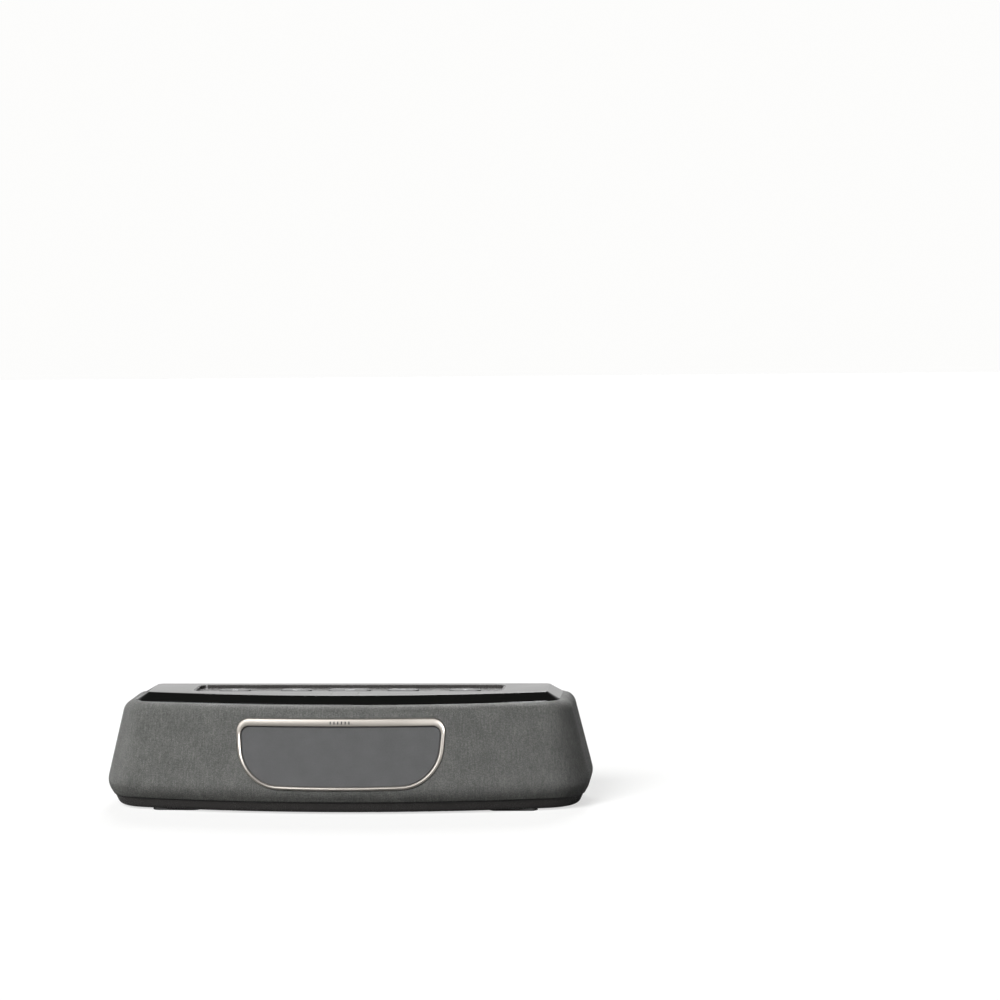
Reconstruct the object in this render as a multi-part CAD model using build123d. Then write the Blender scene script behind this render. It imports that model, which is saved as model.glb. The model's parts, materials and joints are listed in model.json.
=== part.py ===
from build123d import *
from math import asin, atan2, cos, degrees, radians, sin, sqrt, tan
import os

# A compact table-top soundbar. Seen from in front, +X is to the right. -Y is its front and +Z is up.
# The origin is on the surface it stands on, under the middle of it.
# All sizes are in millimetres.

# ---- driving dimensions: casing -------------------------------------------------------------------
WIDTH = 340.0            # across the casing's widest line
DEPTH = 109.6            # face of the front ring to the flat back
HEIGHT = 80.0            # surface to the top plate's face
BACK_ROUND = 12.0        # how far the rounded form would run on past the flat back, which cuts it
BOW_DEPTH = 26.67        # how far the middle of the bowed front stands ahead of its ends
CORNER_R = 34.0          # vertical corners at the widest line
WAIST_Z = 19.0           # height of the widest line
LEAN = 13.8              # degrees the walls lean in above the widest line
TUCK = 25.0              # degrees the walls tuck in below it
WAIST_R = 14.0           # rounding of the widest line
SHOULDER_R = 9.0         # rounding under the top plate
HEM_R = 5.0              # rounding at the base's lower edge
FOOT_HEIGHT = 1.2        # how far the feet lift the base
BASE_TOP = 9.9           # top of the base tray
SHOULDER_Z = 74.5        # top of the cloth-covered body
SHADOW_GAP = 0.5         # gap between cloth and base, and between cloth and rear cover
SEAM_Y = 38.0            # where the cloth ends and the rear cover starts

# ---- driving dimensions: walls and fits -------------------------------------------------------------
CLOTH = 1.0              # cloth thickness
FRAME_WALL = 2.4         # grille frame
FRAME_GAP = 0.9          # air between grille frame and cabinet
CABINET_WALL = 2.8
REAR_WALL = 3.0
BASE_FLOOR = 2.5
BASE_RIM = 8.0
FLANGE = 2.5             # cabinet's top flange
FLANGE_OPENING = (108.0, -13.0)  # half length and front edge of the opening in it
FIT = 0.1                # clearance around a piece that sits in an opening

# ---- driving dimensions: top plate and keys ---------------------------------------------------------
PLATE_GAP = 0.3          # shadow gap under the top plate
PLATE_EDGE = 0.6         # height of the plate's upright edge
PLATE_SKIN = 2.6         # plate thickness over its hollow
BEVEL = 9.0              # width of the bevel round the plate
PLATE_RIM = 4.0          # flat band under its edge
HOLLOW_RUN = 3.33        # how far its hollow's walls run in on their way up
PLATE_BOSS_R = 3.6
PANEL_LENGTH = 220.0     # control panel let into the top plate
PANEL_DEPTH = 33.0
PANEL_SETBACK = 21.5     # front of the top face to the panel
PANEL_CORNER = 7.0
PANEL_SINK = 1.8         # how far the panel's floor lies under the top face
PANEL_FLOOR = 1.6
PANEL_RIM = 1.4          # thickness of the panel's upright rim
PANEL_LEDGE = 2.5        # how far it reaches under the plate
KEY_STAND = 0.7          # how far a key stands above the panel's floor
KEY_TRAVEL = 0.8
KEY_GAP = 0.3            # clearance round a key
KEY_LIP = 1.3            # width of the lip that stops a key from rising
KEY_LIP_DEPTH = 1.5
SIDE_KEY = (22.0, 11.0)  # length and depth of the four outer keys
MIDDLE_KEY = (30.0, 14.0)
INNER_KEY_X = 38.0
OUTER_KEY_X = 82.0
WINDOW = (18.6, 15.0)    # sensor window in the top plate
WINDOW_THICK = 1.6

# ---- driving dimensions: front ring -----------------------------------------------------------------
RING_TOP_HALF = 73.5     # half width of the ring at its top edge
RING_LOW_HALF = 70.0     # half width where the lower edge would meet the sides
RING_TOP_Z = 66.3
RING_LOW_Z = 20.0        # lower edge at its ends
RING_SAG = 1.5           # how much lower the lower edge is in the middle
RING_TOP_R = 9.0
RING_LOW_R = 29.0
RING_TOP_BAR = 5.3
RING_SIDE_BAR = 3.0
RING_LOW_BAR = 2.4
RING_PROUD = 1.6
MESH_SINK = 0.6          # how far the display mesh lies behind the cloth's face
MESH_THICK = 1.0
LIGHT_Z = 29.0           # height of the indicator lamps behind the mesh

# ---- driving dimensions: loudspeakers ---------------------------------------------------------------
WOOFER_Z = 41.0          # height of the woofers' centres
FRONT_WOOFER_X = 110.0
SIDE_WOOFER_Y = 15.0
WOOFER_R = 22.0          # flange
WOOFER_FLANGE = 5.4      # width of the flange round its opening
SCREW_MARGIN = 2.1       # edge of the flange to its screws' circle
BASKET_MARGIN = 4.2      # edge of the flange to the basket behind it
BASKET_NARROWING = 4.2   # how much smaller the basket's radius is at its back
BASKET_DEPTH = 13.6
BASKET_WALL = 1.3
ROLL = 3.4               # width of the rolled rubber edge round the cone
COIL_R = 6.2
POLE_R = 5.2
MOTOR_DEPTH = 22.6
CONE_STROKE = 1.5
TWEETER_X = 38.0
TWEETER_Z = 44.0
TWEETER_R = 14.0
TWEETER_BODY_R = 12.0
TWEETER_SCREW_R = 12.6
TWEETER_DEPTH = 14.0
DRIVER_FLANGE = 2.2      # flange thickness
DRIVER_SINK = 0.8        # flange face behind the cabinet's face
SEAT_THICK = 2.8
SEAT_MARGIN = 3.0
SEAT_RISE = 3.0          # seats are drawn this far out and cut back to the wall

# ---- driving dimensions: electronics ----------------------------------------------------------------
BOARD = 1.6
BOARD_HALF_LENGTH = 86.0
BOARD_FRONT_Y = -12.0
BOARD_Z = 14.0
BAY_HALF = 82.0          # connector bay in the back
BAY_LOW = 13.0
BAY_HIGH = 33.0
BAY_DEPTH = 12.4
BAY_LINING = 2.5
JACK_PLATE = 2.0

# ---- driving dimensions: fasteners (head radius, head height, shank radius) --------------------------
CASE_SCREW = (2.8, 2.0, 1.45)
SMALL_SCREW = (2.0, 1.2, 1.0)
HOLE_PLAY = 0.2          # clearance of a shank in its hole
HEAD_PLAY = 0.3          # clearance of a head in its recess
BASE_HEAD_SEAT = 3.0     # depth of the base screws' recesses
REAR_HEAD_SEAT = 5.0     # depth of the rear screws' recesses
BASE_BOSS_R = 5.0        # bosses in the tray
BOSS_R = 4.0             # bosses standing on the tray's
BOSS_HEIGHT = 12.0
PILOT = 9.0              # depth of their pilot holes
RIB = 2.4
STANDOFF_R = 3.2         # posts under the main board
LUG = 10.0               # side of the square lugs that the rear cover is screwed to
LUG_DEPTH = 9.0
REAR_BOSS_R = 4.8
VENT = (2.2, 15.0, 6.0)  # width, height and spacing of the slots in the back
VENT_COUNT = 19
VENT_Z = 53.0            # height of the slots' middles

# ---- worked out -------------------------------------------------------------------------------------
UP = tan(radians(LEAN))
# The rounding of the widest line takes a little off it, so the sharp outline is that much larger.
WAIST_LOSS = WAIST_R * ((sin(radians(LEAN)) + sin(radians(TUCK))) / sin(radians(LEAN + TUCK)) - 1)
HALF = WIDTH / 2 + WAIST_LOSS
FRONT_Y = -DEPTH / 2 + RING_PROUD - WAIST_LOSS
BACK_Y = DEPTH / 2
FORM_BACK_Y = BACK_Y + BACK_ROUND + WAIST_LOSS
FRONT_BOW = (HALF ** 2 + BOW_DEPTH ** 2) / (2 * BOW_DEPTH)  # radius of the front, seen from above
BOW_CENTRE_Y = FRONT_Y + FRONT_BOW
BASE_LOW = FOOT_HEIGHT
FLOOR_TOP = BASE_LOW + BASE_FLOOR
BODY_LOW = BASE_TOP + SHADOW_GAP
SHOULDER_RUN = SHOULDER_R * tan(radians((90 - LEAN) / 2))
PLATE_INSET = (SHOULDER_Z - WAIST_Z) * UP + SHOULDER_RUN  # where the rounded shoulder reaches its top
PLATE_LOW = SHOULDER_Z + PLATE_GAP
PLATE_UNDER = HEIGHT - PLATE_SKIN
TOP_FACE_INSET = PLATE_INSET + BEVEL
FRAME_IN = CLOTH + FRAME_WALL
CABINET_OUT = FRAME_IN + FRAME_GAP
CABINET_IN = CABINET_OUT + CABINET_WALL
FLANGE_TOP = SHOULDER_Z - CLOTH - FRAME_WALL - SHADOW_GAP / 2
FLANGE_LOW = FLANGE_TOP - FLANGE
LIP_INSET = PLATE_INSET + 2.0             # cloth and frame reach this far in, under the top plate
PANEL_FRONT = FRONT_Y + TOP_FACE_INSET + PANEL_SETBACK
PANEL_Y = PANEL_FRONT + PANEL_DEPTH / 2
PANEL_TOP = HEIGHT - PANEL_SINK
PANEL_UNDER = PANEL_TOP - PANEL_FLOOR
KEY_LOW = PANEL_UNDER - KEY_LIP_DEPTH
SWITCH_TOP = KEY_LOW - KEY_TRAVEL - FIT
SWITCH_HEIGHT = 3.6
KEYPAD_TOP = SWITCH_TOP - SWITCH_HEIGHT
KEYPAD_LOW = KEYPAD_TOP - BOARD
BAY_Y = BACK_Y - BAY_DEPTH
BOARD_TOP = BOARD_Z + BOARD
BOARD_BACK_Y = BAY_Y - JACK_PLATE - 0.6
FAR = 400.0              # larger than anything here, for cutting tools
WOOFER_HOLE_R = WOOFER_R - WOOFER_FLANGE
WOOFER_SCREW_R = WOOFER_R - SCREW_MARGIN
BASKET_R = WOOFER_R - BASKET_MARGIN
BASKET_BACK_R = BASKET_R - BASKET_NARROWING
CONE_R = WOOFER_HOLE_R - ROLL
MAGNET_R = BASKET_BACK_R

KEYS = {
    "power_button": (-OUTER_KEY_X, SIDE_KEY),
    "source_button": (-INNER_KEY_X, SIDE_KEY),
    "pairing_button": (0.0, MIDDLE_KEY),
    "volume_down_button": (INNER_KEY_X, SIDE_KEY),
    "volume_up_button": (OUTER_KEY_X, SIDE_KEY),
}
BASE_SCREWS_CABINET = [(s * x, y) for s in (-1, 1) for x, y in ((146.0, -18.0), (74.0, -36.0), (144.0, 31.0))]
BASE_SCREWS_REAR = [(s * 90.0, 44.0) for s in (-1, 1)]
TOP_SCREWS = [(s * x, y) for s in (-1, 1) for x, y in ((60.0, -19.0), (124.0, 4.0), (124.0, 30.0))]
REAR_SCREWS = [(s * x, z) for s in (-1, 1) for x, z in ((146.0, 22.0), (134.0, 58.0))]
KEYPAD_SCREWS = [(x, PANEL_Y) for x in (-60.0, -19.5, 19.5, 60.0)]
BOARD_SCREWS = [(s * 79.0, y) for s in (-1, 1) for y in (-6.0, 33.0)]
FEET = [(s * 118.0, y) for s in (-1, 1) for y in (-24.0, 38.0)]
FOOT_SIZE = (34.0, 11.0)
FOOT_SUNK = 1.0


# ---- small helpers ----------------------------------------------------------------------------------
def block(x0, x1, y0, y1, z0, z1):
    """Box between two opposite corners."""
    return Pos((x0 + x1) / 2, (y0 + y1) / 2, (z0 + z1) / 2) * Box(x1 - x0, y1 - y0, z1 - z0)


def rod(x, y, z0, z1, radius):
    """Upright cylinder."""
    return Pos(x, y, (z0 + z1) / 2) * Cylinder(radius, z1 - z0)


def rod_y(x, z, y0, y1, radius):
    """Cylinder along Y."""
    return Pos(x, (y0 + y1) / 2, z) * Rot(90, 0, 0) * Cylinder(radius, y1 - y0)


def turned(outline):
    """Solid of revolution about Z of a closed outline in radius and height."""
    return revolve(Plane.XZ * make_face(outline), Axis.Z)


def polygon(*points):
    """Closed outline through points."""
    return Polyline(*points, close=True)


def rounded_slab(x, y, length, depth, corner, z0, z1):
    """Upright slab with rounded corners."""
    return Pos(x, y, z0) * extrude(RectangleRounded(length, depth, corner), z1 - z0)


def one_node(solids):
    """Several separate solids kept in one node."""
    return Compound(children=[s for solid in solids for s in solid.solids()])


def dome(radius, rim, rise):
    """Arc from the axis out to a rim at a given height, part of a ball centred on the axis."""
    ball = (radius ** 2 + rise ** 2) / (2 * rise)
    half = asin(radius / ball) / 2
    middle = (ball * sin(half), rim + rise - ball * (1 - cos(half)))
    return ThreePointArc((0, rim + rise), middle, (radius, rim))


def screw(size, length):
    """Cross-head screw whose head stands on Z = 0 and whose shank points down."""
    head_r, head_h, shank_r = size
    head = Pos(0, 0, head_h / 2) * Cylinder(head_r, head_h)
    head = fillet(head.edges().filter_by(GeomType.CIRCLE).sort_by(Axis.Z)[-1], head_h * 0.35)
    shank = Pos(0, 0, -length / 2) * Cylinder(shank_r, length)
    slot = Pos(0, 0, head_h) * Box(head_r * 1.1, head_r * 0.28, head_h)
    return head + shank - slot - Rot(0, 0, 90) * slot


def level_edges(solid, height):
    """Edges that lie level at a height."""
    return [e for e in solid.edges()
            if abs(e.bounding_box().min.Z - height) < 0.01 and e.bounding_box().size.Z < 0.01]


# ---- the casing's form ------------------------------------------------------------------------------
def plan(inset):
    """Outline of the casing at its widest line, moved in by inset on every side."""
    half = HALF - inset
    front = FRONT_Y + inset
    back = FORM_BACK_Y - inset
    bow = FRONT_BOW - inset
    setback = bow - sqrt(bow ** 2 - half ** 2)
    left = (-half, front + setback)
    right = (half, front + setback)
    edges = [
        ThreePointArc(left, (0, front), right),
        Line(right, (half, back)),
        Line((half, back), (-half, back)),
        Line((-half, back), left),
    ]
    face = make_face(Curve() + edges)
    return fillet(face.vertices(), max(CORNER_R - inset, 0.8))


def form(inset, top=SHOULDER_Z, low=BASE_LOW):
    """The casing's solid form inside a wall of thickness inset, before the flat back cuts it."""
    waist = Pos(0, 0, WAIST_Z) * plan(inset)
    solid = extrude(waist, top - WAIST_Z, taper=LEAN)
    solid += extrude(waist, WAIST_Z - low, taper=TUCK, dir=(0, 0, -1))
    if WAIST_R - inset > 0.5:
        solid = fillet(level_edges(solid, WAIST_Z), WAIST_R - inset)
    if SHOULDER_R - inset > 0.5:
        solid = fillet(level_edges(solid, top), SHOULDER_R - inset)
    if HEM_R - inset > 0.5:
        solid = fillet(level_edges(solid, low), HEM_R - inset)
    return solid


def between(solid, z0, z1, y0=-FAR, y1=FAR):
    """The part of a solid between two levels, and between two upright planes across the depth."""
    return solid & block(-FAR, FAR, y0, y1, z0, z1)


def front_spot(x, z, inset):
    """Plane on the bowed front at x and z, at a depth of inset, facing outwards."""
    bow = FRONT_BOW - inset - (z - WAIST_Z) * UP
    turn = asin(x / bow)
    out = Vector(sin(turn) * cos(radians(LEAN)), -cos(turn) * cos(radians(LEAN)), sin(radians(LEAN)))
    return Plane(origin=(x, BOW_CENTRE_Y - bow * cos(turn), z), x_dir=(cos(turn), sin(turn), 0), z_dir=out)


def side_spot(side, y, z, inset):
    """Plane on the left (-1) or right (1) wall at y and z, at a depth of inset, facing outwards."""
    x = HALF - inset - (z - WAIST_Z) * UP
    out = Vector(side * cos(radians(LEAN)), 0, sin(radians(LEAN)))
    return Plane(origin=(side * x, y, z), x_dir=(0, side, 0), z_dir=out)


def sunk(spot, depth):
    """A spot moved inwards along its own normal."""
    return spot.offset(-depth)


WOOFERS = {
    "front_left": sunk(front_spot(-FRONT_WOOFER_X, WOOFER_Z, CABINET_OUT), DRIVER_SINK),
    "front_right": sunk(front_spot(FRONT_WOOFER_X, WOOFER_Z, CABINET_OUT), DRIVER_SINK),
    "side_left": sunk(side_spot(-1, SIDE_WOOFER_Y, WOOFER_Z, CABINET_OUT), DRIVER_SINK),
    "side_right": sunk(side_spot(1, SIDE_WOOFER_Y, WOOFER_Z, CABINET_OUT), DRIVER_SINK),
}
TWEETERS = {
    "left": sunk(front_spot(-TWEETER_X, TWEETER_Z, CABINET_OUT), DRIVER_SINK),
    "right": sunk(front_spot(TWEETER_X, TWEETER_Z, CABINET_OUT), DRIVER_SINK),
}
FRAME_SOLID = form(FRAME_IN)
CASING = form(0)


# ---- base -------------------------------------------------------------------------------------------
def base_tray():
    tray = between(CASING, BASE_LOW, BASE_TOP, y1=BACK_Y)
    tray -= between(form(BASE_RIM), FLOOR_TOP, BASE_TOP, y1=BACK_Y - REAR_WALL)
    for x, y in BASE_SCREWS_CABINET + BASE_SCREWS_REAR:
        tray += rod(x, y, FLOOR_TOP, BASE_TOP, BASE_BOSS_R) & between(CASING, FLOOR_TOP, BASE_TOP, y1=BACK_Y)
        tray -= rod(x, y, 0, BASE_TOP, CASE_SCREW[2] + HOLE_PLAY)
        tray -= rod(x, y, 0, BASE_LOW + BASE_HEAD_SEAT, CASE_SCREW[0] + HEAD_PLAY)
    for x, y in BOARD_SCREWS:
        tray += rod(x, y, FLOOR_TOP, BOARD_Z, STANDOFF_R)
        tray -= rod(x, y, FLOOR_TOP + 3.0, BOARD_Z, SMALL_SCREW[2])
    for x, y in FEET:
        tray -= foot(x, y, FIT)
    return tray


def foot(x, y, grow=0.0):
    """One foot, a rounded bar that is glued into a shallow pocket in the tray."""
    length, depth = FOOT_SIZE[0] + 2 * grow, FOOT_SIZE[1] + 2 * grow
    return rounded_slab(x, y, length, depth, depth / 2 - 0.2, 0, BASE_LOW + FOOT_SUNK)


def rubber_feet():
    return one_node([foot(x, y) for x, y in FEET])


def base_screws():
    pan = screw(CASE_SCREW, 11.0)
    return one_node([Pos(x, y, BASE_LOW + BASE_HEAD_SEAT) * Rot(180, 0, 0) * pan
                     for x, y in BASE_SCREWS_CABINET + BASE_SCREWS_REAR])


# ---- cabinet and rear cover -------------------------------------------------------------------------
def driver_seat(spot, radius):
    """Round pad in the cabinet wall that a loudspeaker's flange is screwed down on."""
    low = -DRIVER_FLANGE - SEAT_THICK
    return spot.location * rod(0, 0, low, SEAT_RISE, radius + SEAT_MARGIN)


def driver_cut(spot, radius, hole_r, screw_r, count):
    """Recess for a flange, the hole behind it and the pilot holes of its screws."""
    cut = rod(0, 0, -DRIVER_FLANGE, 10.0, radius + HEAD_PLAY)
    cut += rod(0, 0, -12.0, 2.0, hole_r)
    for k in range(count):
        cut += Rot(0, 0, 45 + 360 / count * k) * rod(screw_r, 0, -7.0, 1.0, SMALL_SCREW[2])
    return spot.location * cut


def cabinet():
    outer = form(CABINET_OUT, top=FLANGE_TOP)
    inner = form(CABINET_IN, top=FLANGE_TOP)
    walls = between(outer - inner, BASE_TOP, FLANGE_TOP, y1=SEAM_Y)
    flange = between(outer, FLANGE_LOW, FLANGE_TOP, y1=SEAM_Y)
    flange -= block(-FLANGE_OPENING[0], FLANGE_OPENING[0], FLANGE_OPENING[1], FAR, 0, FAR)
    shell = walls + flange
    room = between(outer, BASE_TOP, FLANGE_TOP, y1=SEAM_Y)
    for spot in WOOFERS.values():
        shell += driver_seat(spot, WOOFER_R) & room
    for spot in TWEETERS.values():
        shell += driver_seat(spot, TWEETER_R) & room
    for x, y in BASE_SCREWS_CABINET:
        end = FAR if x > 0 else -FAR
        if abs(x) > FRONT_WOOFER_X:
            rib = block(min(x, end), max(x, end), y - RIB / 2, y + RIB / 2, BASE_TOP, BASE_TOP + BOSS_HEIGHT)
        else:
            rib = block(x - RIB / 2, x + RIB / 2, -FAR, y, BASE_TOP, BASE_TOP + BOSS_HEIGHT)
        shell += (rod(x, y, BASE_TOP, BASE_TOP + BOSS_HEIGHT, BOSS_R) + rib) & room
    for x, z in REAR_SCREWS:
        inner = x - LUG / 2 if x > 0 else x + LUG / 2
        end = FAR if x > 0 else -FAR
        shell += room & block(min(inner, end), max(inner, end), SEAM_Y - LUG_DEPTH, SEAM_Y,
                              z - LUG / 2, z + LUG / 2)
    for spot in WOOFERS.values():
        shell -= driver_cut(spot, WOOFER_R, BASKET_R + 0.4, WOOFER_SCREW_R, 4)
    for spot in TWEETERS.values():
        shell -= driver_cut(spot, TWEETER_R, TWEETER_BODY_R + 0.3, TWEETER_SCREW_R + 0.3, 2)
    for x, y in BASE_SCREWS_CABINET:
        shell -= rod(x, y, BASE_TOP, BASE_TOP + PILOT, CASE_SCREW[2])
    for x, y in TOP_SCREWS:
        shell -= rod(x, y, FLANGE_LOW, FLANGE_TOP, SMALL_SCREW[2] + HOLE_PLAY)
    for x, z in REAR_SCREWS:
        shell -= rod_y(x, z, SEAM_Y - LUG_DEPTH + 1.0, SEAM_Y, CASE_SCREW[2])
    return shell


def rear_cover():
    start = SEAM_Y + SHADOW_GAP
    cover = between(CASING, BODY_LOW, SHOULDER_Z, start, BACK_Y)
    cover -= between(form(REAR_WALL), BODY_LOW, SHOULDER_Z, start, BACK_Y - REAR_WALL)
    cover -= Pos(0, 0, 60) * extrude(plan(LIP_INSET), 40)
    inside = between(CASING, BASE_TOP, SHOULDER_Z, start, BACK_Y)
    behind_seam = between(CASING, BODY_LOW, SHOULDER_Z, SEAM_Y, BACK_Y)
    for x, z in REAR_SCREWS:
        cover += rod_y(x, z, SEAM_Y, BACK_Y, REAR_BOSS_R) & behind_seam
    lining = block(-BAY_HALF - BAY_LINING, BAY_HALF + BAY_LINING, BAY_Y, BACK_Y,
                   BAY_LOW - BAY_LINING, BAY_HIGH + BAY_LINING)
    cover += lining
    for x, y in BASE_SCREWS_REAR:
        rib = block(x - RIB / 2, x + RIB / 2, y, BACK_Y, BASE_TOP, BASE_TOP + BOSS_HEIGHT)
        cover += (rod(x, y, BASE_TOP, BASE_TOP + BOSS_HEIGHT, BOSS_R) + rib) & inside
        cover -= rod(x, y, BASE_TOP, BASE_TOP + PILOT, CASE_SCREW[2])
    cover -= block(-BAY_HALF, BAY_HALF, BAY_Y, FAR, BAY_LOW, BAY_HIGH)
    for x, z in REAR_SCREWS:
        cover -= rod_y(x, z, SEAM_Y, BACK_Y, CASE_SCREW[2] + HOLE_PLAY)
        cover -= rod_y(x, z, BACK_Y - REAR_HEAD_SEAT, BACK_Y, CASE_SCREW[0] + HEAD_PLAY)
    slot = Rot(90, 0, 0) * rounded_slab(0, 0, VENT[0], VENT[1], VENT[0] / 2 - 0.05, 0, BAY_DEPTH + BAY_DEPTH)
    for k in range(VENT_COUNT):
        cover -= Pos((k - (VENT_COUNT - 1) / 2) * VENT[2], BACK_Y + 1.0, VENT_Z) * slot
    return cover


def rear_cover_screws():
    pan = screw(CASE_SCREW, 18.0)
    return one_node([Pos(x, BACK_Y - REAR_HEAD_SEAT, z) * Rot(-90, 0, 0) * pan for x, z in REAR_SCREWS])


# ---- grille -----------------------------------------------------------------------------------------
def ring_outline(top_bar, side_bar, low_bar):
    """Outline of the front ring in X and Z, moved in by the given bar widths."""
    top = RING_TOP_Z - top_bar
    low = RING_LOW_Z + low_bar
    half_top = RING_TOP_HALF - side_bar
    half_low = RING_LOW_HALF - side_bar
    edges = [
        Line((-half_top, top), (half_top, top)),
        Line((half_top, top), (half_low, low)),
        ThreePointArc((half_low, low), (0, low - RING_SAG), (-half_low, low)),
        Line((-half_low, low), (-half_top, top)),
    ]
    face = make_face(Curve() + edges)
    face = fillet(face.vertices().sort_by(Axis.Y)[-2:], RING_TOP_R - side_bar)
    lower = [v for v in face.vertices() if abs(v.X) > half_low - 0.1 and abs(v.Y - low) < 0.1]
    return fillet(lower, RING_LOW_R - side_bar)


def ring_prism(grow=0.0, inner=False):
    """The ring's outline as a prism along Y, through the front only."""
    bars = (RING_TOP_BAR, RING_SIDE_BAR, RING_LOW_BAR) if inner else (0.0, 0.0, 0.0)
    face = ring_outline(*(b - grow for b in bars))
    return extrude(Plane.XZ * face, FAR)


def grille_cloth():
    skin = between(CASING - form(CLOTH, top=SHOULDER_Z - CLOTH), BODY_LOW, SHOULDER_Z, y1=SEAM_Y)
    skin -= Pos(0, 0, 60) * extrude(plan(LIP_INSET), 40)
    return skin - ring_prism(FIT)


def grille_frame():
    skin = form(CLOTH, top=SHOULDER_Z - CLOTH) - form(FRAME_IN, top=SHOULDER_Z - FRAME_IN)
    skin = between(skin, BODY_LOW, SHOULDER_Z, y1=SEAM_Y)
    skin -= Pos(0, 0, 60) * extrude(plan(LIP_INSET), 40)
    skin -= ring_prism(FIT)
    for spot in WOOFERS.values():
        skin -= spot.location * rod(0, 0, -5.0, 15.0, WOOFER_R - 1.0)
    return skin


def trim_ring():
    band = form(-RING_PROUD) - FRAME_SOLID
    ring = band & ring_prism()
    return ring - ring_prism(inner=True)


def display_mesh():
    plate = form(MESH_SINK, top=SHOULDER_Z - MESH_SINK) - form(MESH_SINK + MESH_THICK)
    return plate & ring_prism(-FIT, inner=True)


def light_board():
    """Strip with five lamps on the cabinet's face, behind the display mesh."""
    board = block(-18, 18, -5, 5, 0, 1.0)
    lamps = [block(x - 1.6, x + 1.6, -1.4, 1.4, 1.0, 1.8) for x in (-12.0, -6.0, 0.0, 6.0, 12.0)]
    return front_spot(0, LIGHT_Z, CABINET_OUT).location * (board + lamps)


def light_diffuser():
    return front_spot(0, LIGHT_Z, CABINET_OUT).location * block(-16, 16, -3, 3, 1.85, 2.35)


# ---- top plate and controls -------------------------------------------------------------------------
def top_plate():
    outline = Pos(0, 0, PLATE_LOW) * plan(PLATE_INSET)
    plate = extrude(outline, PLATE_EDGE)
    rise = HEIGHT - PLATE_LOW - PLATE_EDGE
    plate += extrude(Pos(0, 0, PLATE_EDGE) * outline, rise, taper=degrees(atan2(BEVEL, rise)))
    hollow = Pos(0, 0, PLATE_LOW) * plan(PLATE_INSET + PLATE_RIM)
    depth = PLATE_UNDER - PLATE_LOW
    plate -= extrude(hollow, depth, taper=degrees(atan2(HOLLOW_RUN, depth)))
    for x, y in TOP_SCREWS:
        plate += rod(x, y, FLANGE_TOP, PLATE_UNDER, PLATE_BOSS_R)
        plate -= rod(x, y, FLANGE_TOP, PLATE_UNDER - 0.8, SMALL_SCREW[2])
    plate -= rounded_slab(0, PANEL_Y, PANEL_LENGTH, PANEL_DEPTH, PANEL_CORNER, 0, FAR)
    window_y = window_centre_y()
    plate -= rounded_slab(0, window_y, WINDOW[0], WINDOW[1], 2.0, HEIGHT - WINDOW_THICK, FAR)
    plate -= rounded_slab(0, window_y, WINDOW[0] - 4.0, WINDOW[1] - 4.0, 1.5, 0, FAR)
    return plate


def window_centre_y():
    """The sensor window lies midway between the front of the top face and the panel."""
    return PANEL_FRONT - PANEL_SETBACK / 2


def sensor_window():
    return rounded_slab(0, window_centre_y(), WINDOW[0] - 2 * FIT, WINDOW[1] - 2 * FIT, 2.0 - FIT,
                        HEIGHT - WINDOW_THICK, HEIGHT)


def top_plate_screws():
    pan = screw(SMALL_SCREW, 6.5)
    return one_node([Pos(x, y, FLANGE_LOW) * Rot(180, 0, 0) * pan for x, y in TOP_SCREWS])


def control_panel():
    outer = rounded_slab(0, PANEL_Y, PANEL_LENGTH - 2 * FIT, PANEL_DEPTH - 2 * FIT, PANEL_CORNER - FIT,
                         PANEL_UNDER, HEIGHT - 0.2)
    inner = rounded_slab(0, PANEL_Y, PANEL_LENGTH - 2 * PANEL_RIM, PANEL_DEPTH - 2 * PANEL_RIM,
                         PANEL_CORNER - PANEL_RIM, PANEL_TOP, FAR)
    panel = outer - inner
    panel += rounded_slab(0, PANEL_Y, PANEL_LENGTH + 2 * PANEL_LEDGE, PANEL_DEPTH + 2 * PANEL_LEDGE,
                          PANEL_CORNER + PANEL_LEDGE, PANEL_UNDER, PLATE_UNDER)
    for x, y in KEYPAD_SCREWS:
        panel += rod(x, y, KEYPAD_TOP, PANEL_UNDER, 2.6)
        panel -= rod(x, y, KEYPAD_TOP, PANEL_UNDER, SMALL_SCREW[2])
    for x, (length, depth) in KEYS.values():
        panel -= rounded_slab(x, PANEL_Y, length + 2 * KEY_GAP, depth + 2 * KEY_GAP,
                              depth / 2 + KEY_GAP - 0.1, 0, FAR)
    return panel


def key(x, size):
    """One key: its cap in the panel's opening and the lip under the panel that holds it in."""
    length, depth = size
    cap = rounded_slab(x, PANEL_Y, length, depth, depth / 2 - 0.1, KEY_LOW, PANEL_TOP + KEY_STAND)
    cap = fillet(level_edges(cap, PANEL_TOP + KEY_STAND), 0.5)
    return cap + rounded_slab(x, PANEL_Y, length + 2 * KEY_LIP, depth + 2 * KEY_LIP,
                              depth / 2 + KEY_LIP - 0.1, KEY_LOW, PANEL_UNDER)


def keypad_board():
    board = rounded_slab(0, PANEL_Y, 196.0, 20.0, 2.0, KEYPAD_LOW, KEYPAD_TOP)
    front = FLANGE_OPENING[1] + 2.0
    board += block(-10, 10, front, PANEL_Y, KEYPAD_LOW, KEYPAD_TOP)
    board += block(-3.5, 3.5, front + 1.5, front + 6.5, KEYPAD_TOP, KEYPAD_TOP + 5.0)
    for x, y in KEYPAD_SCREWS:
        board -= rod(x, y, 0, FAR, SMALL_SCREW[2] + 0.2)
    return board


def keypad_switches():
    body = Pos(0, 0, (SWITCH_HEIGHT - 0.6) / 2) * Box(6.0, 6.0, SWITCH_HEIGHT - 0.6)
    plunger = Pos(0, 0, SWITCH_HEIGHT / 2) * Cylinder(1.7, SWITCH_HEIGHT)
    return one_node([Pos(x, PANEL_Y, KEYPAD_TOP) * (body + plunger) for x, _ in KEYS.values()])


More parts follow.
